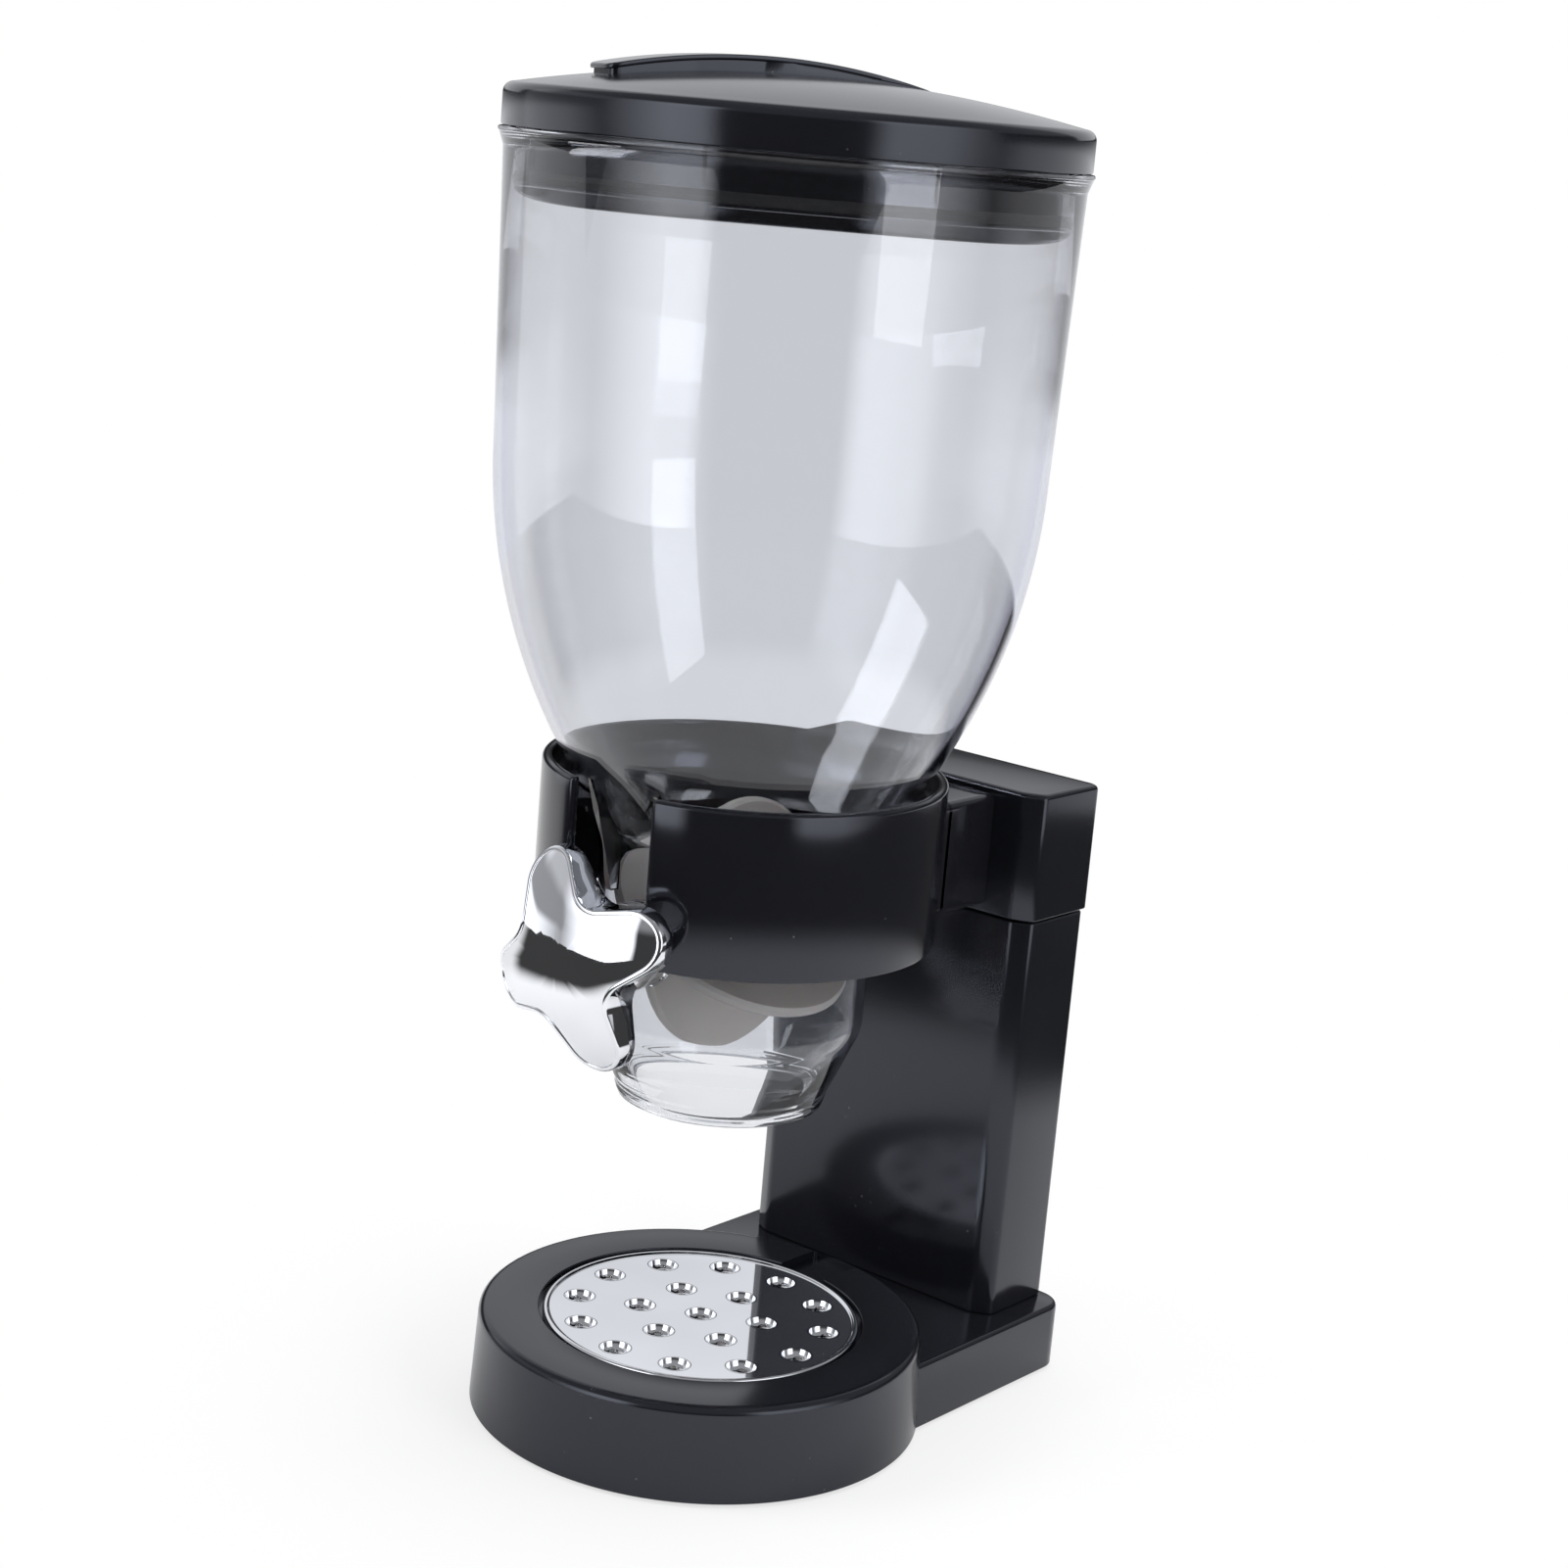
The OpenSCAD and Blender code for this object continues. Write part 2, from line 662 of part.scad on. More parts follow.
// Height of the canister's funnel at radius r
function funnel_z(r) = funnel_foot_z + (r - neck_r) / tan(funnel_slope);

module collar() {
    seat_drop = seat_gap / sin(funnel_slope);
    seat_edge = 2.8;
    seat_low = funnel_z(seat_r) - seat_drop;
    seat_high = funnel_z(seat_r + seat_edge) - seat_drop;
    slot_end_r = collar_wall / 2;
    slot_end_x = slot_w / 2 + slot_end_r;
    slot_end_y = -sqrt(pow(collar_r - slot_end_r, 2) - pow(slot_end_x, 2));
    arm_start = collar_r - 12;
    color(black_c) difference() {
        union() {
            rotate_extrude() polygon(concat(
                [[collar_in_r, collar_z], [collar_r - 0.6, collar_z], [collar_r, collar_z + 0.6]],
                arc(collar_r - 1.5, collar_top - 1.5, 1.5, 0, 90, 5),
                arc(collar_in_r + 1, collar_top - 1, 1, 90, 180, 4)));
            // seat under the funnel
            rotate_extrude() polygon([
                [seat_r, seat_low], [seat_r + seat_edge, seat_high],
                [collar_in_r + join, seat_high], [collar_in_r + join, seat_high - 2.4],
                [seat_r + seat_edge + 0.8, seat_high - 2.4], [seat_r + 2, seat_low - 1.4],
                [seat_r, seat_low - 1.4]]);
            // arm to the head and its lower tongue inside the head
            difference() {
                union() {
                    translate([0, arm_start, arm_z + arm_h / 2]) rotate([-90, 0, 0])
                        linear_extrude(column_reach + head_lip + 0.8 - arm_start)
                        polygon(round_box(arm_w, arm_h, arm_edge_r));
                    translate([0, arm_start, arm_z + (arm_h - tongue_step) / 2]) rotate([-90, 0, 0])
                        linear_extrude(tongue_end - arm_start)
                        polygon(round_box(arm_w, arm_h - tongue_step, arm_edge_r));
                }
                translate([0, 0, arm_z - past]) cylinder(r = collar_in_r + join, h = arm_h + 2 * past);
                translate([0, collar_r + 2, arm_z + (arm_h - tongue_step) / 2]) rotate([-90, 0, 0])
                    linear_extrude(column_back)
                    polygon(round_box(arm_w - 2 * arm_wall, arm_h - tongue_step - 2 * arm_wall, 1));
            }
        }
        translate([-slot_end_x, -collar_r - past, collar_z - past])
            cube([2 * slot_end_x, collar_r, collar_h + 2 * past]);
        for (s = [-1, 1])
            translate([s * arm_screw_x, arm_screw_y, arm_z + arm_h - tongue_step - arm_wall - past])
                cylinder(r = screw_hole_r, h = arm_wall + 2 * past);
    }
    color(black_c) for (s = [-1, 1])
        translate([s * slot_end_x, slot_end_y, collar_z])
            cylinder(r = slot_end_r, h = collar_h - 0.5);
}

module collar_screws() {
    color(steel_c) for (s = [-1, 1])
        translate([s * arm_screw_x, arm_screw_y,
                   arm_z + arm_h - tongue_step - arm_wall - screw_head_h])
            screw(arm_wall + tongue_step - 1);
}

// The one-piece clear canister
module canister() {
    inner_outlet_r = outlet_r - bin_wall / cos(outlet_slope);
    difference() {
        union() {
            rotate_extrude() polygon(concat(
                // bead round the outlet
                [[0, outlet_z], [outlet_r + rim_bead, outlet_z],
                 [outlet_r + rim_bead + rim_h * tan(outlet_slope), outlet_z + rim_h],
                 [outlet_r + rim_h * tan(outlet_slope), outlet_z + rim_h + 0.6]],
                [for (i = [1:len(bin_line(0)) - 1]) bin_line(0)[i]],
                // mouth flange
                [[mouth_r + flange_out, mouth_h - flange_lip], [mouth_r + flange_out, mouth_h],
                 [0, mouth_h]]));
            along_y(-boss_reach, -neck_r + 2.5, boss_d / 2);
            along_y(neck_r - 2.5, rear_reach, bush_r + 1.2);
            // two webs that guide the canister in the collar's slot
            for (s = [-1, 1])
                translate([s * web_x - web_t / 2, 0, 0]) rotate([90, 0, 90])
                    linear_extrude(web_t)
                    polygon([[-neck_r - web_out, web_foot_z], [0.4 - funnel_top_r, funnel_top_z - 0.7],
                             [5 - funnel_top_r, funnel_top_z], [3.5 - neck_r, funnel_foot_z],
                             [3.5 - neck_r, web_foot_z]]);
        }
        rotate_extrude() polygon(concat(
            [[0, outlet_z - past], [inner_outlet_r - past * tan(outlet_slope), outlet_z - past]],
            [for (i = [1:len(bin_line(0)) - 1]) bin_line(bin_wall)[i]],
            [[mouth_r - bin_wall, mouth_h + past], [0, mouth_h + past]]));
        along_y(-boss_reach - past, 0, bush_r);
        along_y(0, rear_bore_end, bush_r);
    }
}

// The band of the canister between two heights
module canister_band(z0, z1) {
    color(clear_c) intersection() {
        canister();
        translate([0, 0, z0]) cylinder(r = max(mouth_d, bowl_d) / 2 + flange_out + past, h = z1 - z0);
    }
}

module canister_barrel() {
    canister_band(bowl_h, mouth_h + past);
}

module canister_bowl() {
    canister_band(neck_top_z, bowl_h);
}

module canister_neck() {
    canister_band(neck_base_z, neck_top_z);
}

module canister_outlet() {
    canister_band(outlet_z - past, neck_base_z);
}

module front_bush() {
    color(silicone_c) difference() {
        along_y(-boss_reach, -chamber_r + 0.2, bush_r);
        along_y(-boss_reach - past, 0, shaft_r + shaft_fit);
    }
}

module rear_bush() {
    color(silicone_c) difference() {
        along_y(chamber_r - 0.2, rear_bore_end, bush_r);
        along_y(0, rear_bore_end + past, shaft_r + shaft_fit);
    }
}

// The shaft's round section with its drive flat, grown by g
module shaft_bar(y0, y1, g) {
    translate([0, y1, axis_h]) rotate([90, 0, 0]) linear_extrude(y1 - y0) difference() {
        circle(r = shaft_r + g);
        translate([-shaft_d, shaft_r - flat_depth + g]) square([2 * shaft_d, shaft_d]);
    }
}

module paddle_wheel() {
    color(silicone_c) difference() {
        union() {
            intersection() {
                translate([0, 0, axis_h]) sphere(r = paddle_r, $fn = wheel_fn);
                union() {
                    for (i = [0:paddle_discs - 1])
                        translate([0, 0, axis_h]) rotate([0, 90 + i * 180 / paddle_discs, 0])
                            cube([neck_d, neck_d, paddle_t], center = true);
                    along_y(-sleeve_half, sleeve_half, sleeve_d / 2);
                }
            }
        }
        along_y(-chamber_r, chamber_r, core_d / 2);
    }
}

module wheel_core() {
    color(black_c) difference() {
        along_y(-core_half, core_half, core_d / 2);
        shaft_bar(-chamber_r, chamber_r, shaft_fit);
    }
}

module shaft() {
    color(steel_c) difference() {
        shaft_bar(shaft_front, shaft_back, 0);
        along_y(shaft_front - past, shaft_front + screw_bite, pilot_r);
    }
}

module thrust_washer() {
    color(silicone_c) difference() {
        along_y(washer_y - washer_t, washer_y, washer_r);
        along_y(washer_y - washer_t - past, 0, shaft_r + shaft_fit);
    }
}

module knob_solid(o) {
    intersection() {
        translate([0, knob_back_y + (o > 0 ? past : 0), axis_h]) rotate([90, 0, 0])
            linear_extrude(knob_side + knob_dome + 4) polygon(knob_outline(o));
        translate([0, knob_sphere_y, axis_h]) sphere(r = knob_sphere_r - o, $fn = knob_fn);
    }
}

module knob() {
    color(chrome_c) difference() {
        knob_solid(0);
        knob_solid(knob_wall);
    }
}

module knob_core() {
    color(black_c) difference() {
        union() {
            along_y(knob_back_y - 1.4, washer_y - washer_t, core_neck_r);
            intersection() {
                along_y(knob_front_y, knob_back_y - 1.4 + join, core_neck_r - 0.8);
                translate([0, knob_sphere_y, axis_h]) sphere(r = knob_sphere_r - knob_wall, $fn = knob_fn);
            }
        }
        shaft_bar(shaft_front, 0, shaft_fit);
        along_y(shaft_front - past - 2, shaft_front + past, screw_hole_r);
        along_y(knob_front_y - past, shaft_front - 1.6, screw_head_d / 2 + 0.2);
    }
}

module knob_screw() {
    color(steel_c) translate([0, shaft_front - 1.6 - screw_head_h, axis_h]) rotate([-90, 0, 0])
        screw(screw_bite);
}

module lid_cap() {
    color(black_c) difference() {
        rotate_extrude() polygon(concat([[0, lid_z], [lid_r - 0.4, lid_z], [lid_r, lid_z + 0.6]], lid_line));
        translate([0, 0, lid_z - past]) cylinder(r = lid_r - lid_wall, h = plug_top - lid_z + past);
        rotate_extrude() polygon(concat(
            [[0, lid_z], [plug_r - 0.6, lid_z]],
            [for (i = [0:8]) let (r = (plug_r - 0.6) * (1 - i / 8))
                [r, dome_z + sqrt(pow(dome_r - lid_wall, 2) - pow(r, 2))]]));
    }
}

module lid_grip() {
    color(black_c) difference() {
        rotate(lid_turn) translate([-grip_shift, 0, 0]) intersection() {
            rotate([90, 0, 0]) translate([0, 0, -grip_w / 2]) linear_extrude(grip_w)
                polygon(concat(
                    [[grip_half, grip_foot_z]],
                    [for (i = [0:16]) let (x = grip_half * (1 - i / 8))
                        [x, grip_bow_z + sqrt(pow(grip_bow_r, 2) - pow(x, 2))]],
                    [[-grip_half, grip_foot_z]]));
            translate([0, 0, grip_foot_z - past])
                linear_extrude(crest_z + 2 * grip_rise - grip_foot_z)
                polygon(round_box(grip_l, grip_w, grip_corner_r));
        }
        rotate_extrude() polygon(concat([[0, lid_z], [lid_r, lid_z]], lid_line));
    }
}

module lid_plug() {
    flange_r = lid_r - lid_wall - 0.05;
    color(black_c) {
        rotate_extrude() polygon([
            [plug_r - plug_wall, plug_z + 1], [plug_r - plug_wall + 0.8, plug_z],
            [plug_r - 0.4, plug_z], [plug_r, plug_z + 0.4], [plug_r, seal_z],
            [plug_r - seal_depth, seal_z], [plug_r - seal_depth, seal_z + seal_h],
            [plug_r, seal_z + seal_h], [plug_r, plug_top - plug_flange_h],
            [flange_r, plug_top - plug_flange_h], [flange_r, plug_top],
            [plug_r - plug_wall, plug_top]]);
        for (i = [0:plug_ribs - 1])
            rotate((i + 0.5) * 360 / plug_ribs)
                translate([plug_r - plug_rib_depth, -plug_rib_t / 2, seal_z + seal_h + 1.5])
                cube([2 * plug_rib_depth, plug_rib_t, plug_top - seal_z - seal_h - 2.5]);
    }
}

module lid_seal() {
    seal_out = mouth_r - bin_wall - (mouth_h - flange_h - seal_z) * tan(wall_slope) - seal_gap;
    color(rubber_c) rotate_extrude() polygon([
        [plug_r - seal_depth, seal_z], [plug_r, seal_z],
        [seal_out, seal_z + seal_h / 2], [plug_r, seal_z + seal_h],
        [plug_r - seal_depth, seal_z + seal_h]]);
}

base_disc();
base_cup();
base_block();
base_plate();
base_feet();
plate_screws();
drip_tray();
column();
column_screws();
head_block();
head_screws();
collar();
collar_screws();
canister_barrel();
canister_bowl();
canister_neck();
canister_outlet();
front_bush();
rear_bush();
paddle_wheel();
wheel_core();
shaft();
thrust_washer();
knob();
knob_core();
knob_screw();
lid_cap();
lid_grip();
lid_plug();
lid_seal();
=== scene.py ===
from math import radians, degrees, sin, cos, tan, pi, asin
import bpy
import bmesh
import numpy as np
from mathutils import Matrix, Vector


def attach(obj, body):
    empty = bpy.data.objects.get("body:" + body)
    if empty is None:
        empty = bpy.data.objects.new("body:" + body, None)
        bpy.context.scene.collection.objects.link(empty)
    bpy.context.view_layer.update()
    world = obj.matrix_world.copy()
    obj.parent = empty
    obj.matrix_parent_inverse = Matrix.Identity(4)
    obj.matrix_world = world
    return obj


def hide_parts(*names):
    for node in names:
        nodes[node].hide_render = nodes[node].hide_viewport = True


# Gravity bulk food bin over its CAD frame: metres, +Z up, the knob towards -Y
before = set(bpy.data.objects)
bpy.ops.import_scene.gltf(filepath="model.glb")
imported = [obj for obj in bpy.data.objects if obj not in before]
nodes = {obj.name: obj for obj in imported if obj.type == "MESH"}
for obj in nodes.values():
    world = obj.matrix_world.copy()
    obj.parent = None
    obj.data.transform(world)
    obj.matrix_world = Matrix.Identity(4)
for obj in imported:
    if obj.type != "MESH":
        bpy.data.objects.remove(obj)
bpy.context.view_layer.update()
print("frame loaded:", len(nodes), "nodes")

mm = 0.001
scene = bpy.context.scene
scene.view_settings.view_transform = "Standard"

# The photo's camera: place in metres; heading, downward pitch and roll in degrees; lens in mm
view = dict(place=(0.5165, -0.6215, 0.3808), heading=38.94, pitch=13.177, roll=4.923, lens=67.08)


def addCamera(v):
    # forward leans down by pitch; right and up are then turned about it by roll
    a, p, r = radians(v["heading"]), radians(v["pitch"]), radians(v["roll"])
    forward = Vector((-sin(a) * cos(p), cos(a) * cos(p), -sin(p)))
    right = Vector((cos(a), sin(a), 0))
    up = right.cross(forward)
    rightRolled = right * cos(r) + up * sin(r)
    upRolled = up * cos(r) - right * sin(r)
    data = bpy.data.cameras.new("photoCamera")
    data.lens, data.sensor_width = v["lens"], 36
    camera = bpy.data.objects.new("photoCamera", data)
    camera.matrix_world = Matrix.Translation(v["place"]) @ Matrix(
        (rightRolled, upRolled, -forward)).transposed().to_4x4()
    scene.collection.objects.link(camera)
    scene.camera = camera


addCamera(view)
print("camera placed")


def makeObject(name, verts, faces, sharp=32):
    # mesh of points in metres, smooth but for edges over the angle sharp
    mesh = bpy.data.meshes.new(name)
    mesh.from_pydata(np.asarray(verts).reshape(-1, 3).tolist(), [], faces)
    bm = bmesh.new()
    bm.from_mesh(mesh)
    bmesh.ops.remove_doubles(bm, verts=bm.verts, dist=2e-6)
    bmesh.ops.dissolve_degenerate(bm, edges=bm.edges, dist=1e-7)
    bmesh.ops.recalc_face_normals(bm, faces=bm.faces)
    bm.to_mesh(mesh)
    bm.free()
    mesh.shade_smooth()
    mesh.set_sharp_from_angle(angle=radians(sharp))
    obj = bpy.data.objects.new(name, mesh)
    scene.collection.objects.link(obj)
    return obj


def gridFaces(rows, cols, closeRows=False, closeCols=True):
    # quads between neighbouring rows and columns of a rows x cols grid of points
    i = np.arange(rows if closeRows else rows - 1)[:, None]
    j = np.arange(cols if closeCols else cols - 1)[None, :]
    a, b = i * cols + j, i * cols + (j + 1) % cols
    c, d = ((i + 1) % rows) * cols + (j + 1) % cols, ((i + 1) % rows) * cols + j
    return np.stack([a, b, c, d], -1).reshape(-1, 4).tolist()


def revolve(name, profile, steps=192, closed=True, sharp=32):
    # the profile (r, z) turned about Z: (r cos t, r sin t, z)
    p = np.asarray(profile, float)
    t = np.linspace(0, 2 * pi, steps, endpoint=False)
    pts = np.stack([p[:, None, 0] * np.cos(t), p[:, None, 0] * np.sin(t),
                    p[:, None, 1] + 0 * t], -1) * mm
    return makeObject(name, pts, gridFaces(len(p), steps, closeRows=closed), sharp)


def stack(name, rings, capFirst=True, capLast=True, sharp=32):
    # closed rings of equal count joined one to the next, with flat ends
    r = np.asarray(rings, float) * mm
    faces = gridFaces(r.shape[0], r.shape[1])
    n, last = r.shape[1], (r.shape[0] - 1) * r.shape[1]
    if capFirst:
        faces.append(list(range(n))[::-1])
    if capLast:
        faces.append([last + k for k in range(n)])
    return makeObject(name, r, faces, sharp)


def arc(cx, cy, r, a0, a1, n):
    a = np.radians(np.linspace(a0, a1, n + 1))
    return np.stack([cx + r * np.cos(a), cy + r * np.sin(a)], -1)


def roundBox(w, h, r, n=6, m=0):
    # outline of a w x h rectangle with corners of radius r, about the origin, with m more points along
    # each of its two long sides
    x, y = w / 2 - r, h / 2 - r
    along = np.linspace(x, -x, m + 2)[1:-1]
    side = np.stack([along, 0 * along + h / 2], -1)
    return np.concatenate([arc(x, y, r, 0, 90, n), side, arc(-x, y, r, 90, 180, n),
                           arc(-x, -y, r, 180, 270, n), -side, arc(x, -y, r, 270, 360, n)])


def joinPieces(name, objs):
    # the meshes of several objects as one object
    bm = bmesh.new()
    for o in objs:
        o.data.transform(o.matrix_world)
        bm.from_mesh(o.data)
    mesh = bpy.data.meshes.new(name)
    bm.to_mesh(mesh)
    bm.free()
    for o in objs:
        bpy.data.objects.remove(o)
    obj = bpy.data.objects.new(name, mesh)
    scene.collection.objects.link(obj)
    return obj


def combine(target, tool, how, sharp=32):
    # exact boolean of two closed pieces, applied to the first
    mod = target.modifiers.new("combine", "BOOLEAN")
    mod.operation, mod.object, mod.solver = how, tool, "EXACT"
    dg = bpy.context.evaluated_depsgraph_get()
    mesh = bpy.data.meshes.new_from_object(target.evaluated_get(dg))
    target.modifiers.clear()
    target.data = mesh
    bpy.data.objects.remove(tool)
    mesh.shade_smooth()
    mesh.set_sharp_from_angle(angle=radians(sharp))
    return target


def finishPiece(obj, body, slot, material, *stands):
    obj.data.materials.clear()
    obj.data.materials.append(material)
    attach(obj, body)
    if stands:
        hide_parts(*stands)
    print("piece", obj.name, len(obj.data.polygons), "faces")
    return obj


def nodeTree(name):
    m = bpy.data.materials.new(name)
    m.use_nodes = True
    t = m.node_tree
    return m, t, t.nodes["Principled BSDF"], t.nodes["Material Output"]


def addNode(t, kind, **values):
    n = t.nodes.new(kind)
    for k, v in values.items():
        if hasattr(n, k):
            setattr(n, k, v)
        else:
            n.inputs[k.replace("_", " ")].default_value = v
    return n


def mapRange(t, source, fromLow, fromHigh, toLow, toHigh, kind="SMOOTHSTEP"):
    n = addNode(t, "ShaderNodeMapRange", interpolation_type=kind)
    for k, v in enumerate((fromLow, fromHigh, toLow, toHigh)):
        n.inputs[k + 1].default_value = v
    t.links.new(source, n.inputs[0])
    return n.outputs[0]


def moulded():
    # group: faint flow marks, dust specks and fine grain of a moulded surface
    g = bpy.data.node_groups.new("mouldedSurface", "ShaderNodeTree")
    color, value = "NodeSocketColor", "NodeSocketFloat"
    for name, kind, start in (("Color", color, (0.5, 0.5, 0.5, 1)), ("Dust", value, 0.5),
                              ("Rough", value, 0.3), ("Vary", value, 0.1), ("Grain Scale", value, 900.0)):
        socket = g.interface.new_socket(name, in_out="INPUT", socket_type=kind)
        socket.default_value = start
    for name, kind in (("Color", color), ("Roughness", value), ("Height", value)):
        g.interface.new_socket(name, in_out="OUTPUT", socket_type=kind)
    i, o = g.nodes.new("NodeGroupInput"), g.nodes.new("NodeGroupOutput")
    where = g.nodes.new("ShaderNodeTexCoord")
    flow = addNode(g, "ShaderNodeTexNoise", Scale=14.0, Detail=3.0)
    specks = addNode(g, "ShaderNodeTexVoronoi", Scale=260.0)
    grain = addNode(g, "ShaderNodeTexNoise", Detail=2.0)
    for n in (flow, specks, grain):
        g.links.new(where.outputs["Object"], n.inputs["Vector"])
    g.links.new(i.outputs["Grain Scale"], grain.inputs["Scale"])
    thin = addNode(g, "ShaderNodeTexNoise", Scale=40.0, Detail=1.0)
    g.links.new(where.outputs["Object"], thin.inputs["Vector"])
    mask = addNode(g, "ShaderNodeMath", operation="MULTIPLY")
    g.links.new(mapRange(g, specks.outputs["Distance"], 0.05, 0.09, 1.0, 0.0), mask.inputs[0])
    g.links.new(mapRange(g, thin.outputs["Fac"], 0.6, 0.72, 0.0, 1.0), mask.inputs[1])
    dusty = addNode(g, "ShaderNodeMath", operation="MULTIPLY")
    g.links.new(mask.outputs[0], dusty.inputs[0])
    g.links.new(i.outputs["Dust"], dusty.inputs[1])
    tone = mapRange(g, flow.outputs["Fac"], 0.3, 0.7, 0.9, 1.1, "LINEAR")
    shade = addNode(g, "ShaderNodeMix", data_type="RGBA", blend_type="MULTIPLY")
    shade.inputs["Factor"].default_value = 1.0
    g.links.new(i.outputs["Color"], shade.inputs["A"])
    g.links.new(tone, shade.inputs["B"])
    specked = addNode(g, "ShaderNodeMix", data_type="RGBA")
    specked.inputs["B"].default_value = (0.45, 0.45, 0.45, 1)
    g.links.new(dusty.outputs[0], specked.inputs["Factor"])
    g.links.new(shade.outputs["Result"], specked.inputs["A"])
    g.links.new(specked.outputs["Result"], o.inputs["Color"])
    off = addNode(g, "ShaderNodeMath", operation="SUBTRACT")
    off.inputs[1].default_value = 0.5
    g.links.new(flow.outputs["Fac"], off.inputs[0])
    swing = addNode(g, "ShaderNodeMath", operation="MULTIPLY_ADD")
    g.links.new(off.outputs[0], swing.inputs[0])
    g.links.new(i.outputs["Vary"], swing.inputs[1])
    g.links.new(i.outputs["Rough"], swing.inputs[2])
    g.links.new(swing.outputs[0], o.inputs["Roughness"])
    g.links.new(grain.outputs["Fac"], o.inputs["Height"])
    return g


surfaceGroup = moulded()


def plastic(name, color, rough, vary=0.1, dust=0.4, grain=900.0, bump=0.02, **shader):
    m, t, bsdf, _ = nodeTree(name)
    g = t.nodes.new("ShaderNodeGroup")
    g.node_tree = surfaceGroup
    g.inputs["Color"].default_value = (*color, 1)
    g.inputs["Dust"].default_value = dust
    g.inputs["Rough"].default_value = rough
    g.inputs["Vary"].default_value = vary
    g.inputs["Grain Scale"].default_value = grain
    t.links.new(g.outputs["Color"], bsdf.inputs["Base Color"])
    t.links.new(g.outputs["Roughness"], bsdf.inputs["Roughness"])
    b = addNode(t, "ShaderNodeBump", Strength=bump, Distance=0.0002)
    t.links.new(g.outputs["Height"], b.inputs["Height"])
    t.links.new(b.outputs["Normal"], bsdf.inputs["Normal"])
    for k, v in shader.items():
        bsdf.inputs[k.replace("_", " ")].default_value = v
    return m


cool = dict(IOR=1.55, Specular_Tint=(0.84, 0.87, 1.0, 1))
satinBlack = plastic("satinBlack", (0.0085, 0.009, 0.0115), 0.14, 0.08, 0.3, 1400.0, 0.03, **cool)
glossBlack = plastic("glossBlack", (0.0085, 0.0088, 0.0112), 0.1, 0.05, 0.25, 500.0, 0.01, **cool)
siliconeWhite = plastic("siliconeWhite", (0.72, 0.69, 0.65), 0.48, 0.1, 0.0, 700.0, 0.05,
                        Subsurface_Weight=0.15, Subsurface_Scale=0.004)
acetal = plastic("naturalAcetal", (0.7, 0.69, 0.67), 0.4, 0.1, 0.0, 900.0, 0.03)
rubberBlack = plastic("rubberBlack", (0.02, 0.02, 0.02), 0.7, 0.15, 0.5, 1200.0, 0.2)
chromed = plastic("chromedPlastic", (0.82, 0.83, 0.86), 0.035, 0.03, 0.0, 120.0, 0.01, Metallic=1.0)
steelPlain = plastic("stainless", (0.6, 0.6, 0.61), 0.28, 0.15, 0.0, 1500.0, 0.03, Metallic=1.0)


def clearPlastic():
    # clear copolyester: greyish, violet where the wall is seen edge on, faint handling marks in the gloss
    m, t, bsdf, _ = nodeTree("clearCanister")
    bsdf.inputs["Transmission Weight"].default_value = 1.0
    bsdf.inputs["IOR"].default_value = 1.46
    g = t.nodes.new("ShaderNodeGroup")
    g.node_tree = surfaceGroup
    for k, v in (("Dust", 0.0), ("Rough", 0.014), ("Vary", 0.03), ("Grain Scale", 60.0)):
        g.inputs[k].default_value = v
    edge = addNode(t, "ShaderNodeLayerWeight", Blend=0.5)
    tint = addNode(t, "ShaderNodeMix", data_type="RGBA")
    tint.inputs["A"].default_value = (0.80, 0.812, 0.842, 1)
    tint.inputs["B"].default_value = (0.63, 0.61, 0.80, 1)
    t.links.new(mapRange(t, edge.outputs["Facing"], 0.62, 0.97, 0.0, 1.0), tint.inputs["Factor"])
    t.links.new(tint.outputs["Result"], bsdf.inputs["Base Color"])
    t.links.new(g.outputs["Roughness"], bsdf.inputs["Roughness"])
    return m


clear = clearPlastic()
print("materials made")

binSize = dict(mouthR=79.1, mouthZ=367.4, flangeOut=1.6, bowlR=76.8, bowlZ=285.0, curveR=169.0, slope=31.5,
               neckR=39.6, outletR=29.1, outletZ=98.0, outletSlope=23.5, outletRound=14.0, funnelRound=8.0,
               mouthStraight=5.0, wall=2.2, axisZ=150.0, bossR=12.2, bossY=-46.0, boreR=7.0, rearR=8.2,
               rearY=42.5, rearWall=1.4, boreIn=20.0, webT=2.0, webIn=0.4)


def binLine(s, o, n=40):
    # outer wall from outlet to mouth, moved in by o along its normals: cone, arc, cylinder, arc, cone, arc
    cone, funnel = radians(s["outletSlope"]), radians(s["slope"])
    footZ = s["outletZ"] + (s["neckR"] - s["outletR"]) / tan(cone)
    topR = s["bowlR"] - s["curveR"] + s["curveR"] * cos(funnel)
    topZ = s["bowlZ"] - s["curveR"] * sin(funnel)
    funnelZ = topZ - (topR - s["neckR"]) / tan(funnel)
    straightZ = s["mouthZ"] - s["mouthStraight"]
    wallTilt = degrees(np.arctan2(s["mouthR"] - s["bowlR"], straightZ - s["bowlZ"]))
    low, high = s["outletRound"], s["funnelRound"]
    return np.concatenate([
        [[s["outletR"] - o / cos(cone), s["outletZ"]]],
        arc(s["neckR"] - low, footZ + low * tan(cone / 2), low - o, -s["outletSlope"], 0, 12),
        arc(s["neckR"] + high, funnelZ - high * tan(funnel / 2), high + o, 180, 180 - s["slope"], 10),
        arc(s["bowlR"] - s["curveR"], s["bowlZ"], s["curveR"] - o, -s["slope"], -wallTilt * 0.6, n),
        [[s["mouthR"] - o, straightZ]]])


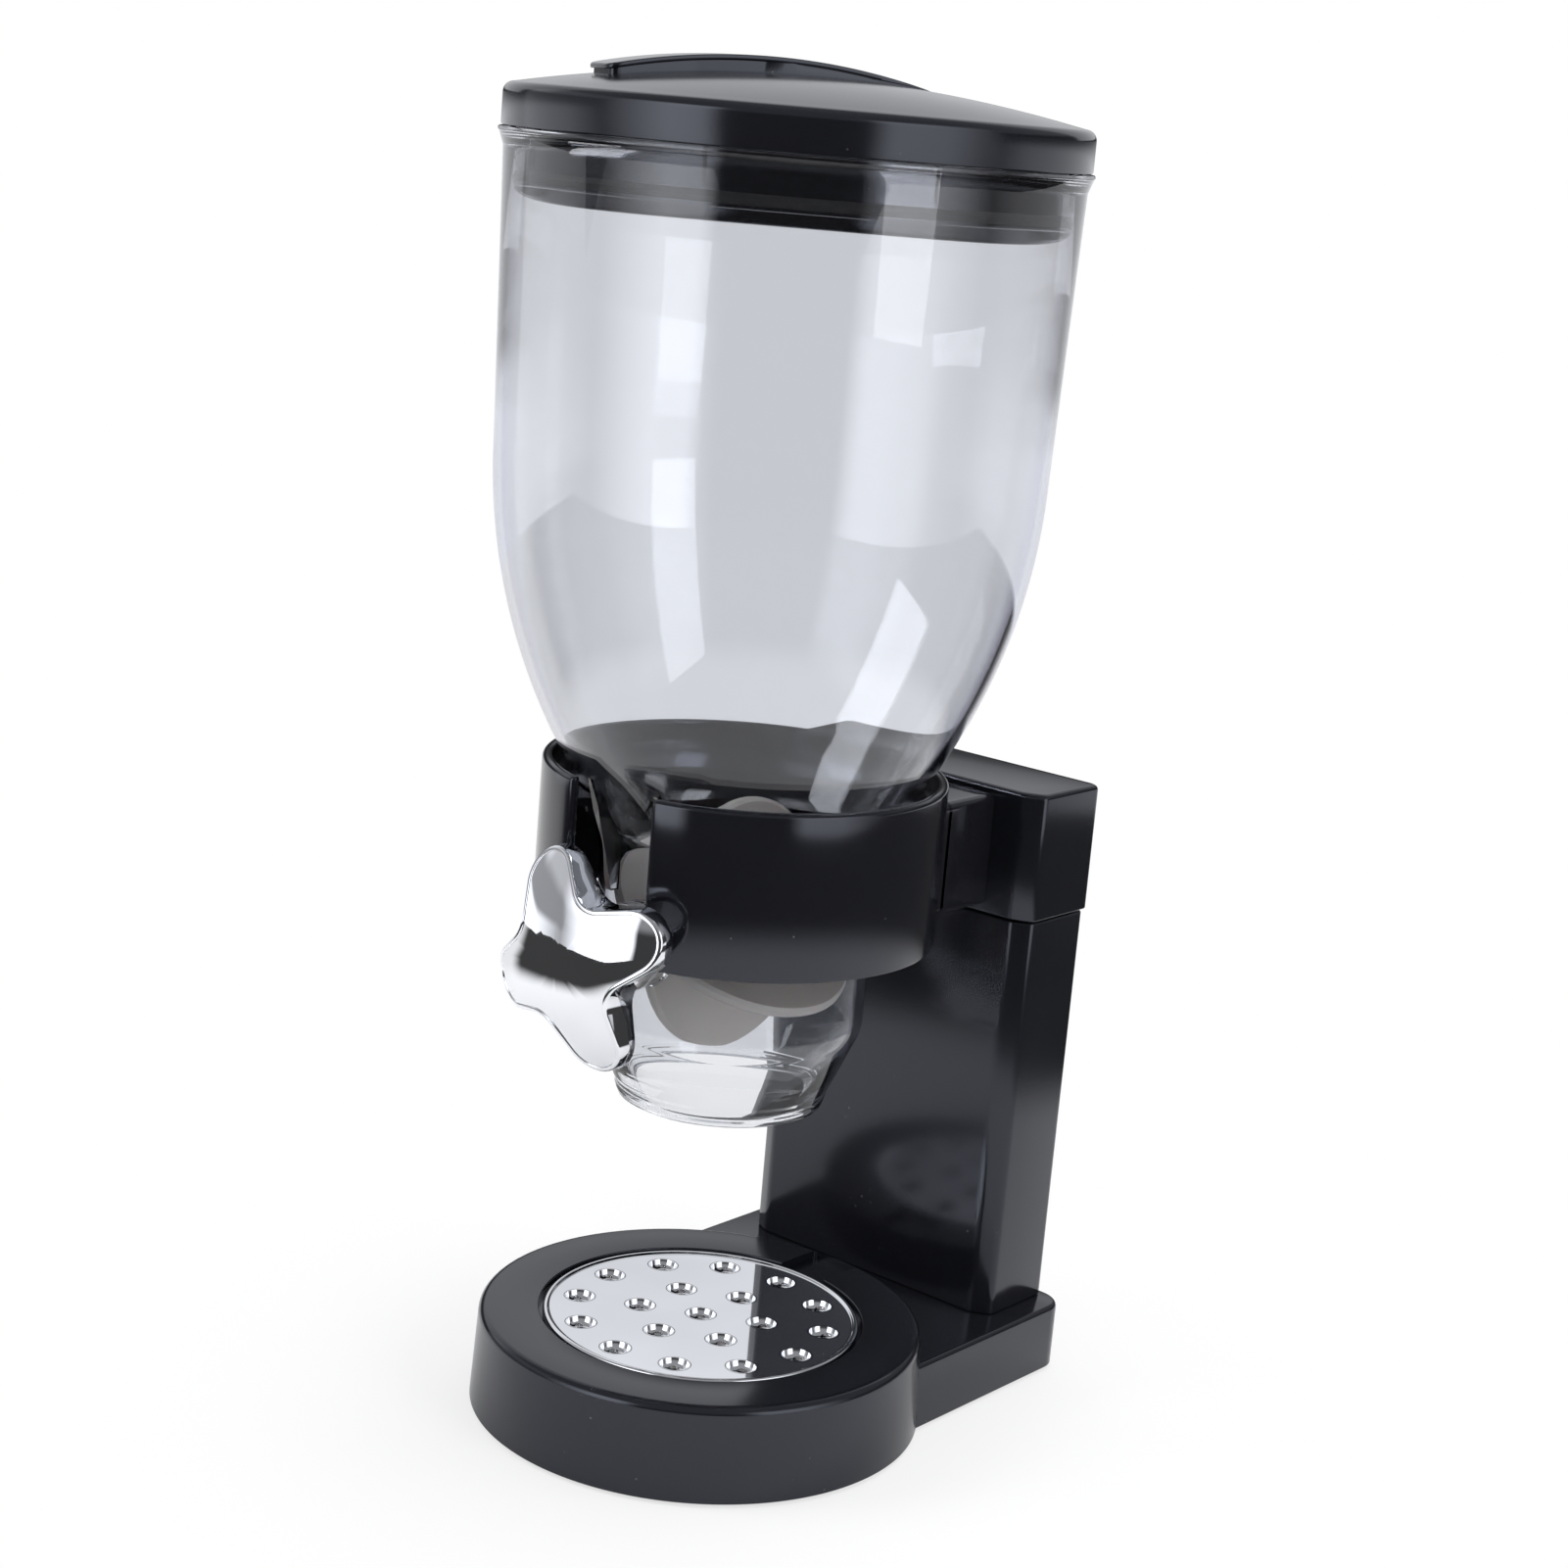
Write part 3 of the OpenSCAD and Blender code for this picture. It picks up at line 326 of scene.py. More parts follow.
def yCylinder(name, y0, y1, r, z, edge=0.4, steps=64):
    # circle of radius r in XZ carried along Y, with its ends' edges rounded
    a = np.linspace(0, 2 * pi, steps, endpoint=False)
    b = np.radians(np.linspace(0, 90, 5))
    radii = np.concatenate([r - edge * (1 - np.sin(b)), (r - edge * (1 - np.sin(b)))[::-1]])
    ys = np.concatenate([y0 + edge * (1 - np.cos(b)), (y1 - edge * (1 - np.cos(b)))[::-1]])
    rings = np.stack([radii[:, None] * np.cos(a), ys[:, None] + 0 * a, z + radii[:, None] * np.sin(a)], -1)
    return stack(name, rings)


def makeBin(s):
    # revolved shell with a beaded outlet and a flanged mouth, then the front boss between its two webs,
    # the rear boss, and both bores
    outer = binLine(s, 0)
    inner = binLine(s, s["wall"])
    k = tan(radians(s["outletSlope"]))
    bead = [(0.35, 0), (0.8, 0.3), (0.95, 0.9), (0.75 + 1.2 * k, 1.5), (0.25 + 2.0 * k, 2.1),
            (0.5 + 2.7 * k, 2.8), (3.6 * k, 3.6)]
    bead = [[s["outletR"] + r, s["outletZ"] + z] for r, z in bead]
    out, top = s["mouthR"] + s["flangeOut"], s["mouthZ"]
    flange = [[out - 0.35, top - 1.35], [out, top - 0.9], [out, top - 0.35], [out - 0.35, top],
              [s["mouthR"] - s["wall"] + 0.4, top], [s["mouthR"] - s["wall"], top - 0.4]]
    lip = [[s["outletR"] - s["wall"] + 0.2, s["outletZ"]]]
    shell = revolve("clearBin", np.concatenate([bead, outer[1:], flange, inner[::-1], lip]), 256)
    meetY = s["neckR"] - s["wall"] - 0.8
    boss = yCylinder("boss", s["bossY"], -meetY, s["bossR"], s["axisZ"])
    shell = combine(shell, boss, "UNION")
    rear = yCylinder("rear", meetY + 0.3, s["rearY"], s["rearR"], s["axisZ"], 1.2)
    shell = combine(shell, rear, "UNION")
    # side view (y, z) of a web, from the chamber's wall up to the funnel's foot
    web = np.array([[-41, 163], [-51.4, 196], [-48.9, 197.2], [-36.9, 176.6], [-36.9, 163]])
    for side in (-1, 1):
        x = side * (s["bossR"] - s["webIn"])
        rings = [np.insert(web, 0, x + e, axis=1) for e in (-s["webT"] / 2, s["webT"] / 2)]
        shell = combine(shell, stack("web", rings), "UNION")
    bore = yCylinder("bore", s["bossY"] - 2, -s["boreIn"], s["boreR"], s["axisZ"], 0.01)
    shell = combine(shell, bore, "DIFFERENCE")
    blind = yCylinder("blind", s["boreIn"], s["rearY"] - s["rearWall"], s["boreR"], s["axisZ"], 0.01)
    return combine(shell, blind, "DIFFERENCE")


finishPiece(makeBin(binSize), "bin", "clear_plastic", clear,
            "canister_barrel", "canister_bowl", "canister_neck", "canister_outlet")

lidSize = dict(r=80.0, z=367.7, band=11.5, dome=8.0, edge=3.0, wall=2.4, roofZ=372.1, plugR=75.8,
               plugZ=353.4, plugWall=2.3, flangeZ=369.9, grooveIn=0.9, grooveLow=1.0, grooveHigh=4.0, ribs=8)


def domeLine(r, radius, centreZ):
    return centreZ + np.sqrt(radius ** 2 - r ** 2)


def makeLid(s):
    # upright band, rounded edge and a spherical dome, with the wall under it
    top, rEdge = s["z"] + s["band"], s["r"] - s["edge"]
    domeR = (rEdge ** 2 + s["dome"] ** 2) / (2 * s["dome"])
    domeZ = top + s["dome"] - domeR
    tilt = degrees(asin(rEdge / domeR))
    r0 = np.linspace(rEdge, 0, 48)[1:]
    r1 = np.linspace(0, s["plugR"] - 0.6, 24)
    profile = np.concatenate([
        [[s["r"] - 0.5, s["z"]], [s["r"] - 0.12, s["z"] + 0.15], [s["r"], s["z"] + 0.5]],
        arc(s["r"] - s["edge"], top - s["edge"], s["edge"], 0, 90 - tilt, 10),
        np.stack([r0, domeLine(r0, domeR, domeZ)], -1),
        np.stack([r1, domeLine(r1, domeR - s["wall"], domeZ)], -1),
        [[s["plugR"] - 0.6, s["roofZ"]], [s["r"] - s["wall"], s["roofZ"]], [s["r"] - s["wall"], s["z"]]]])
    return revolve("lidCap", profile, 256), domeR, domeZ


lidCap, domeR, domeZ = makeLid(lidSize)
finishPiece(lidCap, "lid", "black_plastic", satinBlack, "lid_cap")

gripSize = dict(length=92.0, width=19.0, shift=11.5, rise=3.9, bowR=192.0, corner=3.0, lip=1.35, recess=1.0,
                recessX=8.0, fade=30.0, sink=0.3, thinnest=0.06, edge=0.45, turn=60.0, steps=70)


def makeGrip(s, domeR, domeZ):
    # an arch over the dome, z = crest + rise - R + (R^2 - x^2)^(1/2), with a rounded lip round its top and
    # its sides set back under the lip at the raised end; its far end runs into the dome
    outer = roundBox(s["length"], s["width"], s["corner"], m=s["steps"])
    drawnIn = roundBox(s["length"] - 2, s["width"] - 2, s["corner"] - 1, m=s["steps"]) - outer
    back = s["recess"] * np.clip((s["recessX"] - outer[:, 0]) / s["fade"], 0, 1)
    crest = domeZ + domeR
    c, q = cos(radians(s["turn"])), sin(radians(s["turn"]))
    rings = []

    def level(inset, drop, flat=1.0, atDome=False):
        p = outer + drawnIn * np.reshape(inset, (-1, 1))
        x, y = p[:, 0], p[:, 1] * flat
        top = crest + s["rise"] - s["bowR"] + np.sqrt(s["bowR"] ** 2 - x ** 2)
        skin = domeLine(np.hypot(x - s["shift"], y), domeR, domeZ)
        h = np.maximum(top - skin, s["thinnest"])
        z = skin - s["sink"] if atDome else skin + h - np.minimum(drop, h * (0.2 + 0.3 * drop))
        x = x - s["shift"]
        rings.append(np.stack([x * c - y * q, x * q + y * c, z], -1))

    for flat in (0, 0.3, 0.6, 0.9):
        level(back, 0, flat, True)
    level(back, 0, 1.0, True)
    level(back, s["lip"] + 0.2)
    level(0.15, s["lip"])
    level(0, s["lip"] - 0.25)
    level(0, s["edge"])
    level(0.14, 0.13)
    for flat in (1.0, 0.9, 0.7, 0.45, 0.2, 0):
        level(s["edge"], 0, flat)
    return stack("lidGrip", rings, capFirst=False, capLast=False, sharp=40)


finishPiece(makeGrip(gripSize, domeR, domeZ), "lid", "black_plastic", satinBlack, "lid_grip")


def makePlug(s):
    # skirt with a seal groove and upright ribs, and the flange inside the cap
    r, z, w = s["plugR"], s["plugZ"], s["plugWall"]
    groove, low, high = r - s["grooveIn"], z + s["grooveLow"], z + s["grooveHigh"]
    rim = s["r"] - s["wall"] - 0.05
    profile = [[r - w, z + 1], [r - w + 0.3, z + 0.3], [r - w + 0.8, z], [r - 0.5, z], [r - 0.12, z + 0.15],
               [r, z + 0.5], [r, low], [groove, low], [groove, high], [r, high], [r, s["flangeZ"]],
               [rim, s["flangeZ"]], [rim, s["roofZ"]], [r - w, s["roofZ"]]]
    objs = [revolve("plug", profile, 256)]
    for i in range(s["ribs"]):
        a = radians((i + 0.5) * 360 / s["ribs"])
        outline = roundBox(1.2, 1.4, 0.3, 3)
        x, y = r + outline[:, 1], outline[:, 0]
        xy = np.stack([x * cos(a) - y * sin(a), x * sin(a) + y * cos(a)], -1)
        rings = [np.insert(xy, 2, zz, axis=1) for zz in (z + 5.5, s["flangeZ"] - 0.9)]
        objs.append(stack("rib", rings))
    return joinPieces("lidPlug", objs)


finishPiece(makePlug(lidSize), "lid", "black_plastic", glossBlack, "lid_plug")

collarSize = dict(r=57.8, wall=3.0, z=149.5, h=47.0, slot=28.6, seatR=50.0, seatGap=1.5, seatEnd=0.05,
                  armW=64.0, armZ=150.0, armH=34.5, armEdge=2.5, armY=53.0, headY=82.0, bandY=56.0,
                  bandEnd=57.4, tongueY=80.0, tongueEnd=103.9, tongueStep=6.0)


def sweepRing(name, profile, halfAngle, endR, steps=160):
    # profile (r, z) carried about Z from the slot's one side to the other; at each end the
    # section closes on its own middle like a quarter circle, so the ends are round
    p = np.asarray(profile, float)
    mid = (p[:, 0].max() + p[:, 0].min()) / 2
    b = np.radians(np.linspace(0, 90, 7))
    squeeze = np.cos(b)
    shift = endR * np.sin(b) / mid
    a0, a1 = -pi / 2 + halfAngle, 3 * pi / 2 - halfAngle
    end = endR / mid
    angles = np.concatenate([(a0 + end - shift)[::-1], np.linspace(a0 + end, a1 - end, steps)[1:-1],
                             a1 - end + shift])
    width = np.concatenate([squeeze[::-1], np.ones(steps - 2), squeeze])[:, None]
    r = mid + (p[None, :, 0] - mid) * np.maximum(width, 0.02)
    pts = np.stack([r * np.cos(angles)[:, None], r * np.sin(angles)[:, None], p[None, :, 1] + 0 * r], -1)
    return stack(name, pts, sharp=35)


def makeCollar(s):
    # ring with an open front slot, the seat for the funnel, and the arm to the head
    r, inner, z0, z1 = s["r"], s["r"] - s["wall"], s["z"], s["z"] + s["h"]
    ring = np.concatenate([[[inner + 0.3, z0], [r - 0.6, z0], [r - 0.15, z0 + 0.15], [r, z0 + 0.6]],
                           arc(r - 1.5, z1 - 1.5, 1.5, 0, 90, 8), arc(inner + 1, z1 - 1, 1, 90, 180, 6),
                           [[inner, z0 + 0.3]]])
    half = asin(s["slot"] / 2 / (r - s["wall"] / 2))
    objs = [sweepRing("ring", ring, half, s["wall"] / 2)]
    # section (r, z) of the sloped seat under the funnel
    seat = [[45, 184.8], [47.8, 189.4], [55.3, 189.4], [55.3, 187.0], [48.6, 187.0], [47, 183.4],
            [45, 183.4]]
    half = asin((s["slot"] / 2 + s["seatGap"]) / s["seatR"])
    objs.append(sweepRing("seat", seat, half, s["seatEnd"]))
    middle = s["armZ"] + s["armH"] / 2
    # the arm, a band flush with its faces that shows as a thin dark line round it, and the lower tongue by
    # which it sits in the head
    for y0, y1, step in ((s["armY"], s["headY"], 0), (s["bandY"], s["bandEnd"], 0),
                         (s["tongueY"], s["tongueEnd"], s["tongueStep"])):
        outline = roundBox(s["armW"], s["armH"] - step, s["armEdge"])
        zc = middle - step / 2
        rings = [np.stack([outline[:, 0], 0 * outline[:, 0] + y, zc + outline[:, 1]], -1) for y in (y0, y1)]
        objs.append(stack("arm", rings))
    return joinPieces("collarRing", objs)


finishPiece(makeCollar(collarSize), "stand", "gloss_black", glossBlack, "collar")

standSize = dict(w=95.0, y0=79.0, y1=109.5, bevelW=6.0, bevelD=3.4, soft=1.6, rearR=2.5, z0=21.3, seam=0.8,
                 seamIn=1.7, headZ=148.0, headH=39.0, proud=0.8)


def standOutline(s, o, n=5):
    # plan of the column drawn in by o: bevelled front corners with eased edges, round rear corners
    w, y0, y1 = s["w"] / 2 - o, s["y0"] + o, s["y1"] - o
    yBevel, xBevel = y0 + s["bevelD"], w - s["bevelW"]
    pts = np.array([(w, yBevel), (w, y1), (-w, y1), (-w, yBevel), (-xBevel, y0), (xBevel, y0)], float)
    radii = np.full(6, s["soft"])
    radii[1:3] = s["rearR"]
    out = []
    for k, (c, r) in enumerate(zip(pts, radii)):
        a, b = pts[k - 1] - c, pts[(k + 1) % len(pts)] - c
        a, b = a / np.linalg.norm(a), b / np.linalg.norm(b)
        t = np.linspace(0, 1, n + 1)[:, None]
        out.append((1 - t) ** 2 * (c + a * r) + 2 * t * (1 - t) * c + t ** 2 * (c + b * r))
    return np.concatenate(out)


def risenOutline(outline, s, levels):
    # the outline at each (inset, z) level
    return [np.insert(outline(s, o), 2, z, axis=1) for o, z in levels]


def edgeLevels(z0, z1, low, high, inset=0.0, n=5):
    # levels from z0 to z1 with quarter-round edges of radius low and high
    b = np.radians(np.linspace(0, 90, n + 1))
    up = [(inset + low * (1 - sin(q)), z0 + low * (1 - cos(q))) for q in b]
    down = [(inset + high * (1 - cos(q)), z1 - high * (1 - sin(q))) for q in b]
    return up + down


def makeHead(s):
    # cap block, wider than the column, over the shadow gap
    top = s["headZ"] + s["headH"]
    block = stack("head", risenOutline(standOutline, s, edgeLevels(s["headZ"], top, 0.4, 1.6, -s["proud"])))
    # set-back strip behind the shadow gap
    strip = [(s["seamIn"], s["headZ"] - s["seam"]), (s["seamIn"], s["headZ"] + 2)]
    lip = stack("lip", risenOutline(standOutline, s, strip))
    return joinPieces("headBlock", [block, lip])


finishPiece(makeHead(standSize), "stand", "black_plastic", satinBlack, "head_block")


def makeColumn(s):
    levels = edgeLevels(s["z0"], s["headZ"] - s["seam"], 0.6, 0.5)
    return stack("columnBox", risenOutline(standOutline, s, levels))


finishPiece(makeColumn(standSize), "stand", "black_plastic", satinBlack, "column")

baseSize = dict(rFoot=66.8, rTop=65.7, z0=1.0, h=29.4, edge=2.6, blockW=112.0, blockY=112.0, blockH=21.3,
                blockFront=20.0, corner=9.0, recessR=48.1, cupR=43.7, ledgeZ=27.1, cupZ=13.0, notchW=17.0,
                notchD=2.4, notchY=44.0, notchL=40.0, meetR=60.0)


def blockOutline(s, o, n=8):
    w, y1, c = s["blockW"] / 2 - o, s["blockY"] - o, s["corner"] - o
    return np.concatenate([[[-w, s["blockFront"]], [w, s["blockFront"]]], arc(w - c, y1 - c, c, 0, 90, n),
                           arc(-w + c, y1 - c, c, 90, 180, n)])


def makeBase(s):
    # round front with the tray's recess, crumb cup and finger notch, and the rear block
    e = s["edge"]
    profile = np.concatenate([
        [[0, s["z0"]], [s["rFoot"] - 0.5, s["z0"]], [s["rFoot"], s["z0"] + 0.4]],
        arc(s["rTop"] - e, s["h"] - e, e, 0, 90, 10),
        arc(s["recessR"] + 0.4, s["h"] - 0.4, 0.4, 90, 180, 4),
        [[s["recessR"], s["ledgeZ"]], [s["cupR"], s["ledgeZ"]], [s["cupR"], s["cupZ"]], [0, s["cupZ"]]]])
    disc = revolve("disc", profile, 256, closed=False)
    outline = roundBox(s["notchW"], s["notchL"], 1.0)
    rings = [np.stack([outline[:, 0], outline[:, 1] + s["notchY"], 0 * outline[:, 0] + z], -1)
             for z in (s["h"] - s["notchD"], s["h"] + 5)]
    disc = combine(disc, stack("notch", rings), "DIFFERENCE")
    block = stack("block", risenOutline(blockOutline, s, edgeLevels(s["z0"], s["blockH"], 0.3, 1.5)))
    # the block stops inside the disc's wall
    r, above = s["meetR"], s["h"] + 10
    inside = revolve("inside", [[0, 0.2], [r, 0.2], [r, above], [0, above]], 128, closed=False)
    block = combine(block, inside, "DIFFERENCE")
    return joinPieces("baseShell", [disc, block])


finishPiece(makeBase(baseSize), "stand", "black_plastic", satinBlack, "base_disc", "base_cup", "base_block")

traySize = dict(r=46.9, z=27.4, t=1.2, bead=0.9, hole=4.0, dimple=8.6, depth=2.6, ring=37.0, count=12)


def makeTray(s):
    # a beaded plate with one dimple in the middle, six halfway out and twelve round it; each dimple is a
    # bowl, z = top - depth * (1 - q^2)^0.6 with q from 1 at its lip to 0 at its open hole
    places = [(0, 0)]
    places += [(s["ring"] / 2 * cos(a), s["ring"] / 2 * sin(a)) for a in np.radians(90 + np.arange(6) * 60)]
    places += [(s["ring"] * cos(a), s["ring"] * sin(a)) for a in np.radians(90 + np.arange(s["count"]) * 30)]
    r, z, t = s["r"], s["z"], s["t"]
    plate = revolve("plate", np.concatenate([
        [[0, z + 0.25], [r - 1.2, z + 0.25], [r - 0.9, z], [r - 0.2, z + 0.1], [r, z + 0.5]],
        arc(r - s["bead"], z + t - 0.2, s["bead"], 0, 150, 8),
        [[r - 2.1, z + t], [r - 2.5, z + t], [0, z + t]]]), 256, closed=False)
    cuts, cups = [], []
    top = z + t
    lipR, holeR = s["dimple"] / 2, s["hole"] / 2
    q = np.linspace(1, 0, 8)
    bowl = np.stack([holeR + (lipR - holeR) * q, top - s["depth"] * (1 - q ** 2) ** 0.6], -1)
    under = bowl[::-1] + [0.45, -0.5]
    section = np.concatenate([[[lipR + 0.5, top]], bowl, [[holeR, top - s["depth"] - 0.5]], under,
                              [[lipR + 0.9, top - 0.8]]])
    through = [[0, z - 4], [lipR + 0.3, z - 4], [lipR + 0.3, z + 4], [0, z + 4]]
    for x, y in places:
        cup = revolve("cup", section, 40)
        cut = revolve("cut", through, 40, closed=False)
        for piece in (cup, cut):
            piece.data.transform(Matrix.Translation((x * mm, y * mm, 0)))
        cups.append(cup)
        cuts.append(cut)
    plate = combine(plate, joinPieces("cuts", cuts), "DIFFERENCE")
    return joinPieces("dripTray", [plate] + cups)


finishPiece(makeTray(traySize), "tray", "chromed_plastic", chromed, "drip_tray")

knobSize = dict(r=31.5, lobes=4, tip=9.0, taper=13.5, valley=8.5, backY=-59.3, side=4.2, dome=9.6, wall=1.7,
                edge=0.4, rim=1.3, step=0.35, cushion=6.0, turn=25.7, z=150.0)


def knobOutline(s, o, n=14):
    # tapered lobes with round tips and round valleys, drawn in by o
    half = 180 / s["lobes"]
    centre = s["r"] - s["tip"]
    root = s["tip"] + centre * sin(radians(s["taper"]))
    valleyAt = (s["valley"] + root) / sin(radians(half + s["taper"]))
    out = []
    for k in range(s["lobes"]):
        at = s["turn"] + 2 * half * k
        mid = at + half
        a, m = radians(at), radians(mid)
        lean = 90 - s["taper"]
        out.append(arc(centre * cos(a), centre * sin(a), s["tip"] - o, at - lean, at + lean, n))
        out.append(arc(valleyAt * cos(m), valleyAt * sin(m), s["valley"] + o, at + 270 - s["taper"],
                       at + 2 * half + 90 + s["taper"], n // 2))
    return np.concatenate(out)


def domeRise(s, p, inset=0.0):
    # spherical cap through the lobe tips: side + dome - R + (R^2 - r^2)^(1/2)
    ball = (s["r"] ** 2 + s["dome"] ** 2) / (2 * s["dome"])
    return s["side"] + s["dome"] - ball + np.sqrt((ball - inset) ** 2 - (p ** 2).sum(-1))


def sunken(s, p, outline):
    # the face starts a step below the rim's bead and comes up to the cap over the distance d from the
    # outline, as step * (1 - d / cushion)^2
    a, b = outline, np.roll(outline, -1, axis=0)
    along = b - a
    t = np.clip(((p[:, None] - a) * along).sum(-1) / (along ** 2).sum(-1), 0, 1)
    d = np.linalg.norm(p[:, None] - a - t[..., None] * along, axis=-1).min(1)
    return s["step"] * (1 - np.clip(d / s["cushion"], 0, 1)) ** 2


def makeKnob(s):
    # hollow back, side wall, a bead round the outline and the domed face inside it
    rings = []

    def ring(p, d):
        rings.append(np.stack([p[:, 0], s["backY"] - d + 0 * p[:, 0], s["z"] + p[:, 1]], -1))

    inner = knobOutline(s, s["wall"])
    for q in np.linspace(0.28, 1, 10):
        ring(inner * q, domeRise(s, inner * q, s["wall"]))
    ring(inner, 0.25)
    ring(knobOutline(s, s["wall"] - 0.25), 0)
    ring(knobOutline(s, 0.3), 0)
    ring(knobOutline(s, 0), 0.3)
    for b in np.radians(np.linspace(0, 90, 6)):
        p = knobOutline(s, s["edge"] * (1 - cos(b)))
        ring(p, domeRise(s, p) - s["edge"] * (1 - sin(b)))
    bead = knobOutline(s, s["rim"] - 0.25)
    ring(bead, domeRise(s, bead))
    bead = knobOutline(s, s["rim"] - 0.05)
    ring(bead, domeRise(s, bead) - 0.12)
    face = knobOutline(s, s["rim"] + 0.1)
    for q in 1 - np.linspace(0, 1, 40) ** 1.4:
        p = face * max(q, 0.001)
        ring(p, domeRise(s, p) - sunken(s, p, face))
    return stack("knobShell", rings[::-1], capFirst=True, capLast=True, sharp=50)


finishPiece(makeKnob(knobSize), "knob_shaft", "chromed_plastic", chromed, "knob")

wheelSize = dict(discs=6, r=37.0, t=2.8, sleeve=11.0, sleeveHalf=28.0, core=8.0, z=150.0, bead=0.35)


def makeWheel(s):
    # each half disc is a flat plate to the sphere's edge, thicker by a round bead at its rim
    objs = []
    n = 48
    half, thick, r = s["t"] / 2, s["t"] / 2 + s["bead"], s["r"]
    section = np.array([[s["core"], -half], [r - 4, -half], [r - 2.4, -thick], [r - 0.9, -thick],
                        [r - 0.1, -0.8], [r - 0.1, 0.8], [r - 0.9, thick], [r - 2.4, thick], [r - 4, half],
                        [s["core"], half]])
    for k in range(s["discs"]):
        a = radians(-90 + 360 / s["discs"] * k)
        t = np.radians(np.linspace(-90, 90, n + 1))
        # the section's radius q turns about the middle by t from -Y to +Y, kept outside the core
        q = section[None, :, 0]
        along = q * np.sin(t)[:, None]
        out = np.maximum(q * np.cos(t)[:, None], s["core"] - 0.4)
        side = section[None, :, 1] + 0 * along
        x = out * cos(a) - side * sin(a)
        z = out * sin(a) + side * cos(a)
        pts = np.stack([x, along, s["z"] + z], -1)
        objs.append(stack("paddle", pts, sharp=30))
    inner, outer, end = s["core"] + 0.02, s["sleeve"], s["sleeveHalf"]
    sleeve = [(inner, -end), (outer - 0.8, -end), (outer, 0.8 - end), (outer, end - 0.8), (outer - 0.8, end),
              (inner, end)]
    hub = revolve("hub", sleeve, 96)
    hub.data.transform(Matrix.Translation((0, 0, s["z"] * mm)) @ Matrix.Rotation(pi / 2, 4, "X"))
    objs.append(hub)
    return joinPieces("paddleWheel", objs)


finishPiece(makeWheel(wheelSize), "wheel", "silicone", siliconeWhite, "paddle_wheel")

# The CAD nodes that stay get their materials
metalNodes = ("plate_screws", "column_screws", "head_screws", "collar_screws", "knob_screw", "shaft")
for names, material in ((("base_plate",), satinBlack), (("base_feet", "lid_seal"), rubberBlack),
                        (metalNodes, steelPlain),
                        (("front_bush", "rear_bush", "wheel_core", "thrust_washer", "knob_core"), acetal)):
    for n in names:
        nodes[n].data.materials.clear()
        nodes[n].data.materials.append(material)


def raySeen(t, mirrored):
    # 1 for a ray that met a mirror, or else 1 for a ray from the camera that met clear walls at most
    path = t.nodes.new("ShaderNodeLightPath")
    met = addNode(t, "ShaderNodeMath", operation="GREATER_THAN")
    met.inputs[1].default_value = 0.5
    t.links.new(path.outputs["Glossy Depth"], met.inputs[0])
    share = addNode(t, "ShaderNodeMath", operation="SUBTRACT", use_clamp=True)
    if mirrored:
        t.links.new(met.outputs[0], share.inputs[0])
        t.links.new(path.outputs["Is Diffuse Ray"], share.inputs[1])
        return share.outputs[0]
    either = addNode(t, "ShaderNodeMath", operation="MAXIMUM")
    t.links.new(path.outputs["Is Camera Ray"], either.inputs[0])
    t.links.new(path.outputs["Is Transmission Ray"], either.inputs[1])
    t.links.new(either.outputs[0], share.inputs[0])
    t.links.new(met.outputs[0], share.inputs[1])
    return share.outputs[0]


def addPlane(name, corners):
    mesh = bpy.data.meshes.new(name)
    mesh.from_pydata(corners, [], [(0, 1, 2, 3)])
    obj = bpy.data.objects.new(name, mesh)
    scene.collection.objects.link(obj)
    return obj


floorSize = dict(half=1.0, nearR=0.085, farR=0.2, nearShare=0.7, mirrorR=0.32, mirrorDim=0.05,
                 mirrorBack=0.9)


def behindShare(t, place):
    # 0 in front of and beside the object, 1 behind it as the camera sees it
    unit = addNode(t, "ShaderNodeVectorMath", operation="NORMALIZE")
    t.links.new(place, unit.inputs[0])
    facing = addNode(t, "ShaderNodeVectorMath", operation="DOT_PRODUCT")
    facing.inputs[1].default_value = (-0.87, 0.5, 0.0)
    t.links.new(unit.outputs[0], facing.inputs[0])
    return mapRange(t, facing.outputs["Value"], 0.6, 0.8, 0.0, 1.0)


